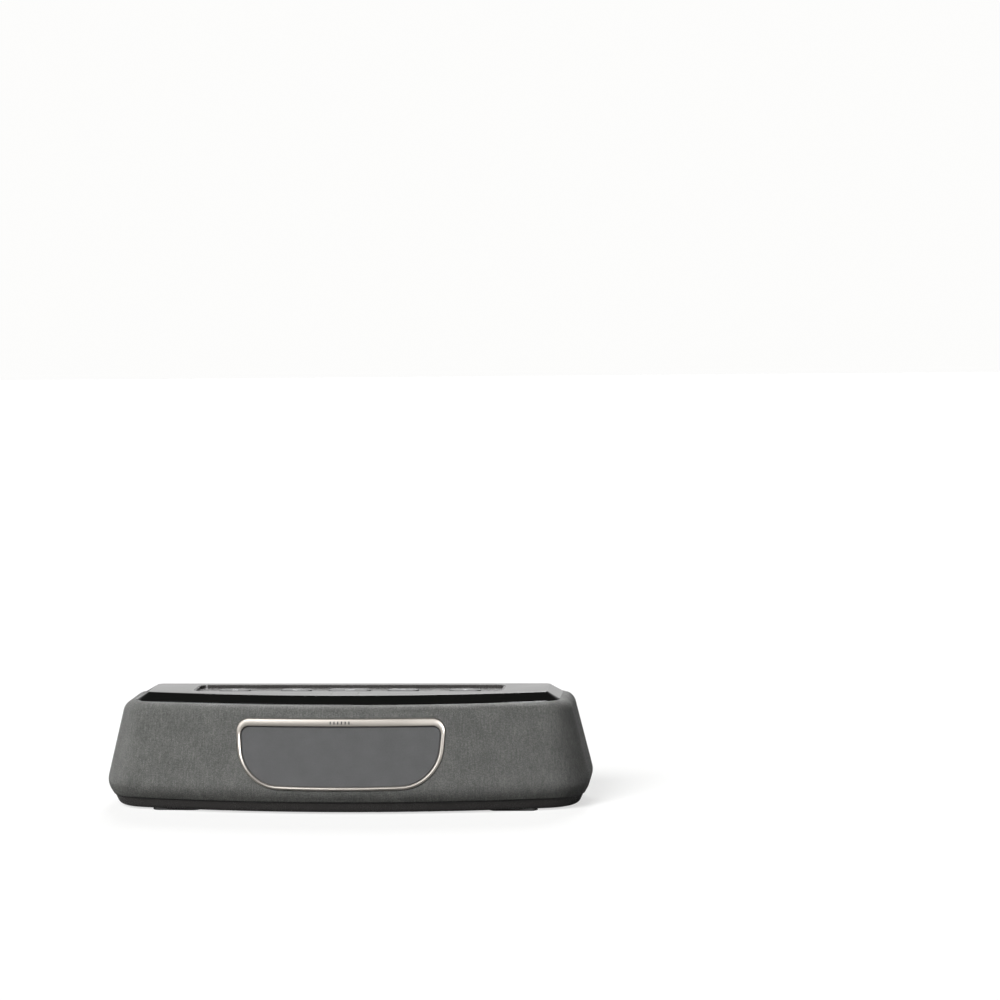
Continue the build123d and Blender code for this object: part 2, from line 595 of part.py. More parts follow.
def keypad_screws():
    pan = screw(SMALL_SCREW, 6.0)
    return one_node([Pos(x, y, KEYPAD_LOW) * Rot(180, 0, 0) * pan for x, y in KEYPAD_SCREWS])


# ---- loudspeakers -----------------------------------------------------------------------------------
# Each is drawn on its own axis, with Z = 0 at the flange's face and +Z the way the sound leaves.
BASKET_FLOOR = -BASKET_DEPTH + BASKET_WALL
MOTOR_BACK = 2.0 - MOTOR_DEPTH
TERMINAL = (0, -BASKET_BACK_R - 2.6, -BASKET_DEPTH)


def woofer_frame():
    body = turned(polygon(
        (WOOFER_HOLE_R, 0), (WOOFER_R, 0), (WOOFER_R, -DRIVER_FLANGE), (BASKET_R, -DRIVER_FLANGE),
        (BASKET_BACK_R, BASKET_FLOOR), (BASKET_BACK_R, -BASKET_DEPTH), (COIL_R + 1.4, -BASKET_DEPTH),
        (COIL_R + 1.4, BASKET_FLOOR), (BASKET_BACK_R - BASKET_WALL, BASKET_FLOOR), (WOOFER_HOLE_R, -3.2)))
    for k in range(4):
        body -= Rot(0, 0, 90 * k) * block(9, 30, -5, 5, -10.4, -4.4)
        body -= Rot(0, 0, 45 + 90 * k) * rod(WOOFER_SCREW_R, 0, -5, 5, SMALL_SCREW[2] + 0.15)
    low = -BASKET_BACK_R - 4.2
    return body + block(-4, 4, low, 0.8 - BASKET_BACK_R, -BASKET_DEPTH, BASKET_FLOOR)


def woofer_motor():
    gap_r = COIL_R + 0.5
    plate_r = MAGNET_R - 1.2
    front = -BASKET_DEPTH
    return turned(polygon(
        (gap_r, front), (plate_r, front), (plate_r, front - 2.2), (MAGNET_R, front - 2.2),
        (MAGNET_R, MOTOR_BACK), (plate_r, MOTOR_BACK), (plate_r, -MOTOR_DEPTH), (0, -MOTOR_DEPTH),
        (0, front - 0.4), (POLE_R, front - 0.4), (POLE_R, MOTOR_BACK), (gap_r + 1.4, MOTOR_BACK),
        (gap_r + 1.4, front - 2.2), (gap_r, front - 2.2)))


def woofer_cone():
    """Cone, dust cap and coil former in one piece."""
    neck = -6.4
    coil_end = MOTOR_BACK + CONE_STROKE + 0.7
    outline = Curve() + [
        dome(COIL_R + 0.4, neck + 0.5, 2.2),
        Line((COIL_R + 0.4, neck + 0.5), (CONE_R, -0.2)),
        Line((CONE_R, -0.2), (CONE_R, -1.0)),
        Line((CONE_R, -1.0), (COIL_R, neck - 0.6)),
        Line((COIL_R, neck - 0.6), (COIL_R, coil_end)),
        Line((COIL_R, coil_end), (COIL_R - 0.6, coil_end)),
        Line((COIL_R - 0.6, coil_end), (COIL_R - 0.6, neck - 0.4)),
        dome(COIL_R - 0.6, neck - 0.4, 2.2),
        Line((0, neck + 1.8), (0, neck + 2.7)),
    ]
    return turned(outline)


def woofer_suspension():
    """The rolled rubber edge, and the flat disc that centres the coil."""
    inside = CONE_R + FIT
    outside = WOOFER_HOLE_R - FIT
    middle = (inside + outside) / 2
    roll = turned(Curve() + [
        ThreePointArc((inside, -0.5), (middle, 0.9), (outside, -0.5)),
        Line((outside, -0.5), (outside, -1.1)),
        ThreePointArc((outside, -1.1), (middle, 0.3), (inside, -1.1)),
        Line((inside, -1.1), (inside, -0.5)),
    ])
    rim = BASKET_BACK_R - BASKET_WALL - FIT
    top = BASKET_FLOOR + 1.0
    disc = turned(polygon(
        (COIL_R + FIT, top), (rim, top), (rim, BASKET_FLOOR), (rim - 1.2, BASKET_FLOOR),
        (rim - 1.2, top - 0.4), (COIL_R + FIT, top - 0.4)))
    return one_node([roll, disc])


def tweeter():
    body = turned(polygon(
        (9.6, 0), (TWEETER_R, 0), (TWEETER_R, -2.2), (TWEETER_BODY_R, -2.2),
        (TWEETER_BODY_R, -TWEETER_DEPTH), (0, -TWEETER_DEPTH), (0, -4.0), (6.8, -4.0), (6.8, -2.6)))
    for k in range(2):
        body -= Rot(0, 0, 45 + 180 * k) * rod(TWEETER_SCREW_R + 0.3, 0, -5, 5, 0.5)
    return body


def tweeter_dome():
    return turned(Curve() + [
        dome(6.6, -3.6, 2.7),
        Line((6.6, -3.6), (6.6, -4.0)),
        Line((6.6, -4.0), (6.0, -4.0)),
        dome(6.0, -4.0, 2.7),
        Line((0, -1.3), (0, -0.9)),
    ])


def driver_screws():
    pan = screw(SMALL_SCREW, 5.0)
    return one_node([spot.location * Rot(0, 0, 45 + 90 * k) * Pos(WOOFER_SCREW_R, 0, 0) * pan
                     for spot in WOOFERS.values() for k in range(4)])


# ---- electronics ------------------------------------------------------------------------------------
def main_board():
    board = block(-BOARD_HALF_LENGTH, BOARD_HALF_LENGTH, BOARD_FRONT_Y, BOARD_BACK_Y, BOARD_Z, BOARD_TOP)
    for x, y in BOARD_SCREWS:
        board -= rod(x, y, 0, FAR, SMALL_SCREW[2] + 0.2)
    return board


def board_screws():
    pan = screw(SMALL_SCREW, 6.0)
    return one_node([Pos(x, y, BOARD_TOP) * pan for x, y in BOARD_SCREWS])


CHIP = 1.4
LEAD_HEADER_X = 84.0


def board_chips():
    """Amplifier and processor chips, two chokes and the two lead headers."""
    chips = [block(x0, x1, y0, y1, BOARD_TOP, BOARD_TOP + CHIP)
             for x0, x1, y0, y1 in ((-16, -4, -4, 8), (6, 18, -4, 8), (48, 58, 0, 10))]
    chokes = [rod(s * 42.0, -6.0, BOARD_TOP, BOARD_TOP + 6.0, 4.5) for s in (-1, 1)]
    middle = LEAD_HEADER_X - 5.0
    headers = [block(s * middle - 5, s * middle + 5, 10, 16, BOARD_TOP, BOARD_TOP + 6.0) for s in (-1, 1)]
    return one_node(chips + chokes + headers)


def heat_sink():
    low = BOARD_TOP + CHIP
    sink = block(-30, 32, -8, 12, low, low + 3.0)
    for k in range(11):
        sink += block(-30 + k * 6.04, -28.4 + k * 6.04, -8, 12, low, low + 16.0)
    return sink


def capacitors():
    spots = ((-62.0, -4.0), (-50.0, 6.0), (-64.0, 8.0))
    return one_node([rod(x, y, BOARD_TOP, BOARD_TOP + 16.0, 5.0) for x, y in spots])


def wireless_module():
    board = block(62, 74, -9, 7, BOARD_TOP, BOARD_TOP + 1.0)
    return board + block(63, 73, -8, 2, BOARD_TOP + 1.0, BOARD_TOP + 3.2)


# name: (centre x, body width, body height, body depth)
SOCKETS = {
    "power_inlet": (-68.0, 9.0, 11.0, 14.0),
    "aux_jack": (-48.0, 7.0, 7.0, 13.0),
    "optical_socket": (-28.0, 11.0, 11.0, 14.0),
    "video_socket": (-4.0, 15.4, 6.6, 12.0),
    "service_socket": (20.0, 13.8, 6.4, 14.0),
    "network_socket": (48.0, 16.0, 13.6, 20.0),
}
SOCKET_MOUTH = BAY_Y - 0.2
OPTICAL_PORT = (8.6, 8.4, 9.5)   # width, height and depth
SHUTTER = (8.2, 7.9, 0.8)
SHUTTER_PIN_R = 0.5
NETWORK_PORT = (11.8, 8.2, 12.0)
AUX_BORE_R = 1.8
AUX_BORE_DEPTH = 11.0


def socket_block(name):
    x, width, height, depth = SOCKETS[name]
    return block(x - width / 2, x + width / 2, SOCKET_MOUTH - depth, SOCKET_MOUTH,
                 BOARD_TOP, BOARD_TOP + height)


def socket_middle(name):
    return SOCKETS[name][0], BOARD_TOP + SOCKETS[name][2] / 2


def power_inlet():
    x, z = socket_middle("power_inlet")
    body = socket_block("power_inlet") - rod_y(x, z, SOCKET_MOUTH - 10.0, SOCKET_MOUTH, 3.1)
    return body + rod_y(x, z, SOCKET_MOUTH - 10.5, SOCKET_MOUTH - 1.0, 1.05)


def aux_jack():
    x, z = socket_middle("aux_jack")
    return socket_block("aux_jack") - rod_y(x, z, SOCKET_MOUTH - AUX_BORE_DEPTH, SOCKET_MOUTH, AUX_BORE_R)


def shutter_axis():
    """Height of the optical shutter's pin, just under the port's roof."""
    return socket_middle("optical_socket")[1] + OPTICAL_PORT[1] / 2 - SHUTTER_PIN_R - 0.2


def optical_socket():
    x, z = socket_middle("optical_socket")
    width, height, depth = OPTICAL_PORT
    body = socket_block("optical_socket")
    body -= block(x - width / 2, x + width / 2, SOCKET_MOUTH - depth, SOCKET_MOUTH,
                  z - height / 2, z + height / 2)
    pin_y = SOCKET_MOUTH - 1.0
    body -= Pos(x, pin_y, shutter_axis()) * Rot(0, 90, 0) * Cylinder(SHUTTER_PIN_R + 0.05, width + 1.2)
    return body + rod_y(x, z - 0.6, SOCKET_MOUTH - depth, SOCKET_MOUTH - depth + 1.0, 1.2)


def optical_shutter():
    """Spring flap that closes the port; it swings in and up about its pin."""
    x, z = socket_middle("optical_socket")
    width, height, thick = SHUTTER
    pin_y = SOCKET_MOUTH - 1.0
    top = shutter_axis()
    flap = block(x - width / 2, x + width / 2, pin_y - thick / 2, pin_y + thick / 2, top - height + 0.5, top)
    return flap + Pos(x, pin_y, top) * Rot(0, 90, 0) * Cylinder(SHUTTER_PIN_R, OPTICAL_PORT[0] + 1.0)


def tongue_socket(name, wall, tongue, reach):
    """Shell with a flat contact tongue inside."""
    x, width, height, depth = SOCKETS[name]
    z = BOARD_TOP + height / 2
    mouth = SOCKET_MOUTH
    body = socket_block(name) - block(x - width / 2 + wall, x + width / 2 - wall, mouth - reach, mouth,
                                      z - height / 2 + wall, z + height / 2 - wall)
    return body + block(x - width / 2 + wall + 1.6, x + width / 2 - wall - 1.6, mouth - reach, mouth - 1.0,
                        z - tongue / 2, z + tongue / 2)


def network_socket():
    x, z = socket_middle("network_socket")
    width, height, depth = NETWORK_PORT
    low = z - height / 2 - 0.6
    body = socket_block("network_socket")
    body -= block(x - width / 2, x + width / 2, SOCKET_MOUTH - depth, SOCKET_MOUTH, low, low + height)
    return body - block(x - 3, x + 3, SOCKET_MOUTH - depth, SOCKET_MOUTH, low + height, low + height + 2.0)


def jack_plate():
    plate = block(-BAY_HALF - 2, BAY_HALF + 2, BAY_Y - JACK_PLATE, BAY_Y, BAY_LOW - 2.0, BAY_HIGH + 2.0)
    plate -= block(-BOARD_HALF_LENGTH, BOARD_HALF_LENGTH, 0, BOARD_BACK_Y + 0.1, BOARD_Z - 0.2, BOARD_TOP)
    for x, width, height, _ in SOCKETS.values():
        plate -= block(x - width / 2 - FIT, x + width / 2 + FIT, 0, FAR,
                       BOARD_TOP - FIT, BOARD_TOP + height + FIT)
    return plate


# ---- leads ------------------------------------------------------------------------------------------
LEAD_R = 0.9


def lead(points):
    """Round lead along a line of points, with arcs as large as the runs allow."""
    vectors = [Vector(p) for p in points]
    radii = []
    for before, here, after in zip(vectors, vectors[1:], vectors[2:]):
        shorter = min((here - before).length, (after - here).length)
        turn = (here - before).get_angle(after - here)
        radii.append(0.45 * shorter / tan(radians(turn / 2)))
    path = FilletPolyline(*vectors, radius=radii)
    start = Plane(origin=path @ 0, z_dir=path % 0)
    return sweep(start * Circle(LEAD_R), path=path)


def speaker_leads():
    """From the board's two lead headers to the terminal tabs of the four woofers."""
    leads = []
    height = BOARD_TOP + 3.0
    x, y, z = TERMINAL
    for side, name in ((-1, "left"), (1, "right")):
        front = WOOFERS[f"front_{name}"]
        leads.append(lead([
            (side * LEAD_HEADER_X, 11.5, height), (side * 93.0, 11.5, height),
            (side * 101.0, 1.0, height - 0.4),
            front.from_local_coords(Vector(x, y, z - 9.4)), front.from_local_coords(Vector(*TERMINAL))]))
        end = WOOFERS[f"side_{name}"]
        leads.append(lead([
            (side * LEAD_HEADER_X, 14.5, height), (side * 97.0, 14.5, height),
            (side * 120.0, 17.5, height - 1.8),
            end.from_local_coords(Vector(x, y, z - 9.4)), end.from_local_coords(Vector(*TERMINAL))]))
    return one_node(leads)


# ---- build ------------------------------------------------------------------------------------------
def all_parts():
    parts = {
        "base_tray": base_tray(),
        "rubber_feet": rubber_feet(),
        "base_screws": base_screws(),
        "cabinet": cabinet(),
        "rear_cover": rear_cover(),
        "rear_cover_screws": rear_cover_screws(),
        "jack_plate": jack_plate(),
        "grille_cloth": grille_cloth(),
        "grille_frame": grille_frame(),
        "trim_ring": trim_ring(),
        "display_mesh": display_mesh(),
        "light_board": light_board(),
        "light_diffuser": light_diffuser(),
        "top_plate": top_plate(),
        "top_plate_screws": top_plate_screws(),
        "control_panel": control_panel(),
        "sensor_window": sensor_window(),
        "keypad_board": keypad_board(),
        "keypad_switches": keypad_switches(),
        "keypad_screws": keypad_screws(),
        "main_board": main_board(),
        "board_screws": board_screws(),
        "board_chips": board_chips(),
        "heat_sink": heat_sink(),
        "capacitors": capacitors(),
        "wireless_module": wireless_module(),
        "power_inlet": power_inlet(),
        "aux_jack": aux_jack(),
        "optical_socket": optical_socket(),
        "optical_shutter": optical_shutter(),
        "video_socket": tongue_socket("video_socket", 0.6, 1.2, 10.0),
        "service_socket": tongue_socket("service_socket", 0.7, 1.4, 12.0),
        "network_socket": network_socket(),
        "driver_screws": driver_screws(),
        "speaker_leads": speaker_leads(),
        "tweeter_domes": one_node([spot.location * tweeter_dome() for spot in TWEETERS.values()]),
    }
    for name, (x, size) in KEYS.items():
        parts[name] = key(x, size)
    for name, spot in TWEETERS.items():
        parts[f"{name}_tweeter"] = spot.location * tweeter()
    for name, spot in WOOFERS.items():
        parts[f"{name}_woofer_frame"] = spot.location * woofer_frame()
        parts[f"{name}_woofer_motor"] = spot.location * woofer_motor()
        parts[f"{name}_woofer_cone"] = spot.location * woofer_cone()
        parts[f"{name}_woofer_suspension"] = spot.location * woofer_suspension()
    return parts


os.makedirs("parts", exist_ok=True)
for node, shape in all_parts().items():
    export_step(shape, f"parts/{node}.step")
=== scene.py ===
import json
from math import asin, cos, pi, radians, sin, sqrt, tan

import bmesh
import bpy
from mathutils import Matrix, Vector


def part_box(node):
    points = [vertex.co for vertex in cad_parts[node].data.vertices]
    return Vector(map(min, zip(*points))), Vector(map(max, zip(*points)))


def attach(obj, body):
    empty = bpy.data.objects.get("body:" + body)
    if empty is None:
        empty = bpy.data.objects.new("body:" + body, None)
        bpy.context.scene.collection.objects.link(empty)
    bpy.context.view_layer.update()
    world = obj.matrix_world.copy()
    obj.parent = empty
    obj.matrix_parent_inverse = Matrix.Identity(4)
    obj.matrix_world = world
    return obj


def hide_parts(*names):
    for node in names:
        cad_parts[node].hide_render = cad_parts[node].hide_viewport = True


# A compact table-top soundbar: knitted cloth round a bowed body, a light metal ring in front,
# a glossy bevelled top plate with a sunken key panel, and a plain black base.
# Everything is in metres. Seen from in front, +X is to the right, -Y is the front and +Z is up.

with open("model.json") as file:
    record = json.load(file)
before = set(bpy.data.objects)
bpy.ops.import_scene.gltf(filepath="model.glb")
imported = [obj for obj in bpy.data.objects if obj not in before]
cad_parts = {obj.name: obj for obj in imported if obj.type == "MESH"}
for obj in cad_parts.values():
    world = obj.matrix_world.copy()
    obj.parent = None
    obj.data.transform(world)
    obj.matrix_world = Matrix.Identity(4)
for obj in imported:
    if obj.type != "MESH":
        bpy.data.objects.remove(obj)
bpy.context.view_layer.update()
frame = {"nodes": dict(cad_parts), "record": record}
nodes = frame["nodes"]
MM = 0.001

# ---- the casing's form ------------------------------------------------------------------------------
FRONT_BOW = 560.6 * MM       # radius of the bowed front, seen from above
CORNER_R = 34.6 * MM
WAIST_Z = 16.5 * MM          # height of the widest line
WAIST_R = 14 * MM
SHOULDER_R = 9 * MM
LEAN = radians(13.8)         # the walls lean in above the widest line
TUCK = radians(30.7)         # and tuck in below it
CLOTH_PROUD = 0.42 * MM      # how far the cloth stands out beyond the solid frame at the widest line
CLOTH_OVERLAP = 1.5 * MM     # how far it reaches down over the base
WAIST_CENTRE = WAIST_R * (sin(LEAN) + sin(TUCK)) / sin(LEAN + TUCK)   # inset of the rounding's centre
WAIST_CENTRE_Z = WAIST_Z + (WAIST_CENTRE * cos(LEAN) - WAIST_R) / sin(LEAN)
WAIST_LOSS = WAIST_CENTRE - WAIST_R
CLOTH_LOW, CLOTH_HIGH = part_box("grille_cloth")
HALF = CLOTH_HIGH.x + CLOTH_PROUD + WAIST_LOSS
FRONT_Y = CLOTH_LOW.y - CLOTH_PROUD - WAIST_LOSS
SEAM_Y = CLOTH_HIGH.y
BODY_LOW, SHOULDER_Z = CLOTH_LOW.z - CLOTH_OVERLAP, CLOTH_HIGH.z
SHOULDER_CENTRE_Z = SHOULDER_Z - SHOULDER_R
SHOULDER_CENTRE = ((SHOULDER_CENTRE_Z - WAIST_Z) * sin(LEAN) + SHOULDER_R) / cos(LEAN)
BOW_CENTRE_Y = FRONT_Y + FRONT_BOW
CORNER_X = HALF - CORNER_R
BOW_HALF_ANGLE = asin(CORNER_X / (FRONT_BOW - CORNER_R))
CORNER_Y = BOW_CENTRE_Y - (FRONT_BOW - CORNER_R) * cos(BOW_HALF_ANGLE)
PLATE_HIGH_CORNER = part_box("top_plate")[1]
PLATE_INSET = HALF - PLATE_HIGH_CORNER.x
BACK_Y = PLATE_HIGH_CORNER.y + PLATE_INSET

# ---- the pieces made here -----------------------------------------------------------------------------
CLOTH_THICK = 0.9 * MM
CLOTH_LIP = 2 * MM           # how far the cloth reaches in under the top plate
CLOTH_STEP = 1.4 * MM        # spacing of the cloth mesh
RING_TOP_HALF, RING_LOW_HALF = 73.5 * MM, 70 * MM
RING_TOP_Z, RING_LOW_Z = 66.3 * MM, 19.3 * MM
RING_SAG = 1.5 * MM
RING_TOP_R, RING_LOW_R = 9 * MM, 29 * MM
RING_TOP_BAR, RING_SIDE_BAR, RING_LOW_BAR = 5.3 * MM, 3 * MM, 2.4 * MM
RING_PROUD = 1.6 * MM
RING_CROWN = 0.35 * MM       # how much higher the middle of a bar is than its edges
RING_DEEP = 3.2 * MM
DISPLAY_SINK = 0.6 * MM
FOOT_LENGTH, FOOT_DEPTH = 34 * MM, 11 * MM
PLATE_LOW = 74.2 * MM
PLATE_TOP = PLATE_HIGH_CORNER.z
PLATE_EDGE = 0.6 * MM        # height of its upright edge
PLATE_SKIN = 2.6 * MM
BEVEL = 9 * MM
PANEL_LOW, PANEL_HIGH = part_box("control_panel")
PANEL_LENGTH, PANEL_DEPTH = 220 * MM, 33 * MM
PANEL_Y = (PANEL_LOW.y + PANEL_HIGH.y) / 2
PANEL_CORNER = 7 * MM
WINDOW_LOW, WINDOW_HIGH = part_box("sensor_window")
KEY_LIP, KEY_LIP_DEPTH = 1.3 * MM, 1.5 * MM
KEY_ROUND = 0.5 * MM         # rounding of a key's top edge
KEY_DISH, KEY_DISH_WIDTH = 0.28 * MM, 3 * MM
KEY_NAMES = ("power_button", "source_button", "pairing_button", "volume_down_button", "volume_up_button")


# ---- node graphs --------------------------------------------------------------------------------------
class Number:
    """A number that varies over a surface. Operators add the Math nodes that work it out."""

    def __init__(self, graph, socket):
        self.graph, self.socket = graph, socket

    def combined(self, operation, first, second=None):
        values = [v for v in (first, second) if v is not None]
        node = self.graph.node("ShaderNodeMath", {"operation": operation}, dict(enumerate(values)))
        return Number(self.graph, node.outputs[0])

    def __add__(self, other):
        return self.combined("ADD", self, other)

    def __radd__(self, other):
        return self.combined("ADD", other, self)

    def __sub__(self, other):
        return self.combined("SUBTRACT", self, other)

    def __rsub__(self, other):
        return self.combined("SUBTRACT", other, self)

    def __mul__(self, other):
        return self.combined("MULTIPLY", self, other)

    def __rmul__(self, other):
        return self.combined("MULTIPLY", other, self)

    def __truediv__(self, other):
        return self.combined("DIVIDE", self, other)

    def __pow__(self, other):
        return self.combined("POWER", self, other)

    def __mod__(self, other):
        return self.combined("FLOORED_MODULO", self, other)

    def wave(self):
        return self.combined("SINE", self)

    def size(self):
        return self.combined("ABSOLUTE", self)

    def whole(self):
        return self.combined("FLOOR", self)

    def root(self):
        return self.combined("SQRT", self)

    def above(self, edge, soft):
        """0 below the edge and 1 above it, with a soft step between."""
        made = self.graph.node("ShaderNodeMapRange", {"interpolation_type": "SMOOTHSTEP"},
                               {"Value": self, "From Min": edge - soft, "From Max": edge + soft})
        return Number(self.graph, made.outputs["Result"])


class Graph:
    """A material under construction."""

    def __init__(self, name):
        self.material = bpy.data.materials.new(name)
        self.material.use_nodes = True
        self.tree = self.material.node_tree
        self.tree.nodes.clear()

    def node(self, kind, settings=None, inputs=None):
        """Adds a node: its settings first, then the values or links of its sockets."""
        made = self.tree.nodes.new(kind)
        for name, value in (settings or {}).items():
            if name == "stops":
                set_stops(made.color_ramp, value)
            else:
                setattr(made, name, value)
        for name, value in (inputs or {}).items():
            if isinstance(value, Number):
                value = value.socket
            if isinstance(value, bpy.types.NodeSocket):
                self.tree.links.new(value, made.inputs[name])
            else:
                made.inputs[name].default_value = value
        return made

    def number(self, kind, output, settings=None, inputs=None):
        return Number(self, self.node(kind, settings, inputs).outputs[output])

    def place(self, scale=(1, 1, 1), turn=(0, 0, 0)):
        """Object coordinates, scaled and turned."""
        where = self.node("ShaderNodeTexCoord").outputs["Object"]
        return self.node("ShaderNodeMapping", None,
                         {"Vector": where, "Scale": scale, "Rotation": turn}).outputs["Vector"]

    def noise(self, where, size, detail=3.0, roughness=0.55):
        """Soft random numbers about 0.5, with features of about the given size in metres."""
        return self.number("ShaderNodeTexNoise", "Fac", None,
                           {"Vector": where, "Scale": 1 / size, "Detail": detail, "Roughness": roughness})

    def tint(self, factor, dark, light):
        """A colour between two, by a varying number."""
        made = self.node("ShaderNodeMix", {"data_type": "RGBA"},
                         {"Factor": factor, "A": (*dark, 1), "B": (*light, 1)})
        return made.outputs["Result"]

    def bump(self, height, depth, strength=1.0):
        made = self.node("ShaderNodeBump", None, {"Strength": strength, "Distance": depth, "Height": height})
        return made.outputs["Normal"]

    def finish(self, inputs, shader="ShaderNodeBsdfPrincipled"):
        surface = self.node(shader, None, inputs)
        self.node("ShaderNodeOutputMaterial", None, {"Surface": surface.outputs[0]})
        return self.material


def set_stops(ramp, stops):
    """Places a colour ramp's stops, given as (position, colour)."""
    while len(ramp.elements) > len(stops):
        ramp.elements.remove(ramp.elements[-1])
    while len(ramp.elements) < len(stops):
        ramp.elements.new(1.0)
    for element, (position, colour) in zip(ramp.elements, stops):
        element.position = position
        element.color = colour


# ---- materials ----------------------------------------------------------------------------------------
def speaker_cloth():
    """Fine melange knit. Its UV map is in metres along the cloth."""
    graph = Graph("speaker_cloth")
    uv = graph.node("ShaderNodeUVMap", {"uv_map": "cloth"}).outputs["UV"]
    parts = graph.node("ShaderNodeSeparateXYZ", None, {"Vector": uv})
    across, up = Number(graph, parts.outputs["X"]), Number(graph, parts.outputs["Y"])
    wander = graph.noise(uv, 6 * MM, 2.0) - 0.5
    row = up / (0.62 * MM) + wander * 0.5
    column = across / (0.78 * MM) + (row.whole() % 2) * 0.5 + wander * 0.4
    stitch = ((column * pi).wave().size() * (row * pi).wave().size()).root()
    cell = graph.node("ShaderNodeCombineXYZ", None, {"X": column.whole(), "Y": row.whole()})
    each = graph.number("ShaderNodeTexWhiteNoise", "Value", {"noise_dimensions": "2D"},
                        {"Vector": cell.outputs["Vector"]})
    long_threads = graph.node("ShaderNodeVectorMath", {"operation": "MULTIPLY"}, {0: uv, 1: (1, 0.12, 1)})
    streaks = graph.noise(long_threads.outputs["Vector"], 1.1 * MM, 3.0, 0.65)
    clouds = graph.noise(uv, 22 * MM, 4.0, 0.6)
    shade = stitch * 0.52 + each * 0.2 + streaks * 0.42 + clouds * 0.3 - 0.22
    gaps = 1 - stitch.above(0.30, 0.16)
    colour = graph.node("ShaderNodeValToRGB", {"stops": [
        (0.0, (0.011, 0.0114, 0.010, 1)), (0.4, (0.048, 0.049, 0.045, 1)), (0.62, (0.096, 0.097, 0.090, 1)),
        (0.85, (0.20, 0.20, 0.188, 1)), (1.0, (0.33, 0.33, 0.31, 1))]}, {"Fac": shade}).outputs["Color"]
    colour = graph.node("ShaderNodeMix", {"data_type": "RGBA"},
                        {"Factor": gaps * 0.75, "A": colour, "B": (0.02, 0.021, 0.02, 1)}).outputs["Result"]
    normal = graph.bump(stitch + each * 0.25 + streaks * 0.3, 0.22 * MM, 0.8)
    return graph.finish({"Base Color": colour, "Roughness": 0.56 - stitch * 0.12, "Normal": normal,
                         "Specular IOR Level": 0.32, "Sheen Weight": 0.03, "Sheen Roughness": 0.4})


def display_cloth():
    """Tight bluish-grey mesh over the indicator lamps, with its UV map in metres."""
    graph = Graph("display_cloth")
    uv = graph.node("ShaderNodeUVMap", {"uv_map": "cloth"}).outputs["UV"]
    parts = graph.node("ShaderNodeSeparateXYZ", None, {"Vector": uv})
    across, up = Number(graph, parts.outputs["X"]), Number(graph, parts.outputs["Y"])
    row = up / (0.5 * MM)
    column = across / (0.5 * MM) + (row.whole() % 2) * 0.5
    threads = ((column * pi).wave().size() * (row * pi).wave().size()).root()
    clouds = graph.noise(uv, 14 * MM, 4.0, 0.6)
    fibres = graph.noise(uv, 0.9 * MM, 3.0, 0.7)
    colour = graph.tint(threads * 0.55 + fibres * 0.3 + clouds * 0.35 - 0.1,
                        (0.027, 0.0273, 0.028), (0.124, 0.125, 0.1275))
    return graph.finish({"Base Color": colour, "Roughness": 0.8 - threads * 0.1,
                         "Normal": graph.bump(threads + fibres * 0.4, 0.12 * MM, 0.7),
                         "Specular IOR Level": 0.3, "Sheen Weight": 0.04, "Sheen Roughness": 0.5})


def gloss_black():
    """Deep piano-black moulding with a polished skin and faint wipe marks."""
    graph = Graph("gloss_black")
    wide = graph.noise(graph.place(), 45 * MM, 3.0)
    wipes = graph.noise(graph.place((0.08, 1, 1), (0, 0, 0.35)), 1.2 * MM, 4.0, 0.7)
    specks = graph.noise(graph.place(), 0.35 * MM, 2.0).above(0.72, 0.03)
    roughness = 0.035 + wide * 0.03 + wipes * 0.035 + specks * 0.12
    return graph.finish({"Base Color": graph.tint(wide * 0.6 + specks * 0.4, (0.0025, 0.003, 0.0025),
                                                  (0.007, 0.007, 0.0065)),
                         "Roughness": roughness, "IOR": 1.52, "Coat Weight": 0.25, "Coat Roughness": 0.04,
                         "Normal": graph.bump(wide, 0.05 * MM, 0.25)})


def moulded(name, dark, light, roughness, grain=0.35 * MM, depth=0.03 * MM, ior_level=0.5):
    """Plastic or rubber with a fine moulded grain and a slightly uneven gloss."""
    graph = Graph(name)
    where = graph.place()
    cells = graph.number("ShaderNodeTexVoronoi", "Distance", {"feature": "SMOOTH_F1"},
                         {"Vector": where, "Scale": 1 / grain, "Smoothness": 0.6})
    patches = graph.noise(where, 18 * MM, 4.0)
    fine = graph.noise(where, grain * 2.2, 3.0)
    return graph.finish({"Base Color": graph.tint(patches * 0.5 + fine * 0.5, dark, light),
                         "Roughness": roughness - 0.08 + patches * 0.1 + cells * 0.12,
                         "Specular IOR Level": ior_level,
                         "Normal": graph.bump(cells + fine * 0.5, depth, 0.7)})


def brushed(name, dark, light, metallic, roughness, stretch=(0.03, 1, 1), grain=0.12 * MM, depth=0.006 * MM):
    """Metal with fine lines along X, which vary its gloss and colour a little."""
    graph = Graph(name)
    lines = graph.noise(graph.place(stretch), grain, 3.0, 0.6)
    wide = graph.noise(graph.place(), 9 * MM, 3.0)
    return graph.finish({"Base Color": graph.tint(lines * 0.6 + wide * 0.4, dark, light),
                         "Metallic": metallic, "Roughness": roughness - 0.08 + lines * 0.12 + wide * 0.06,
                         "Normal": graph.bump(lines, depth, 0.6)})


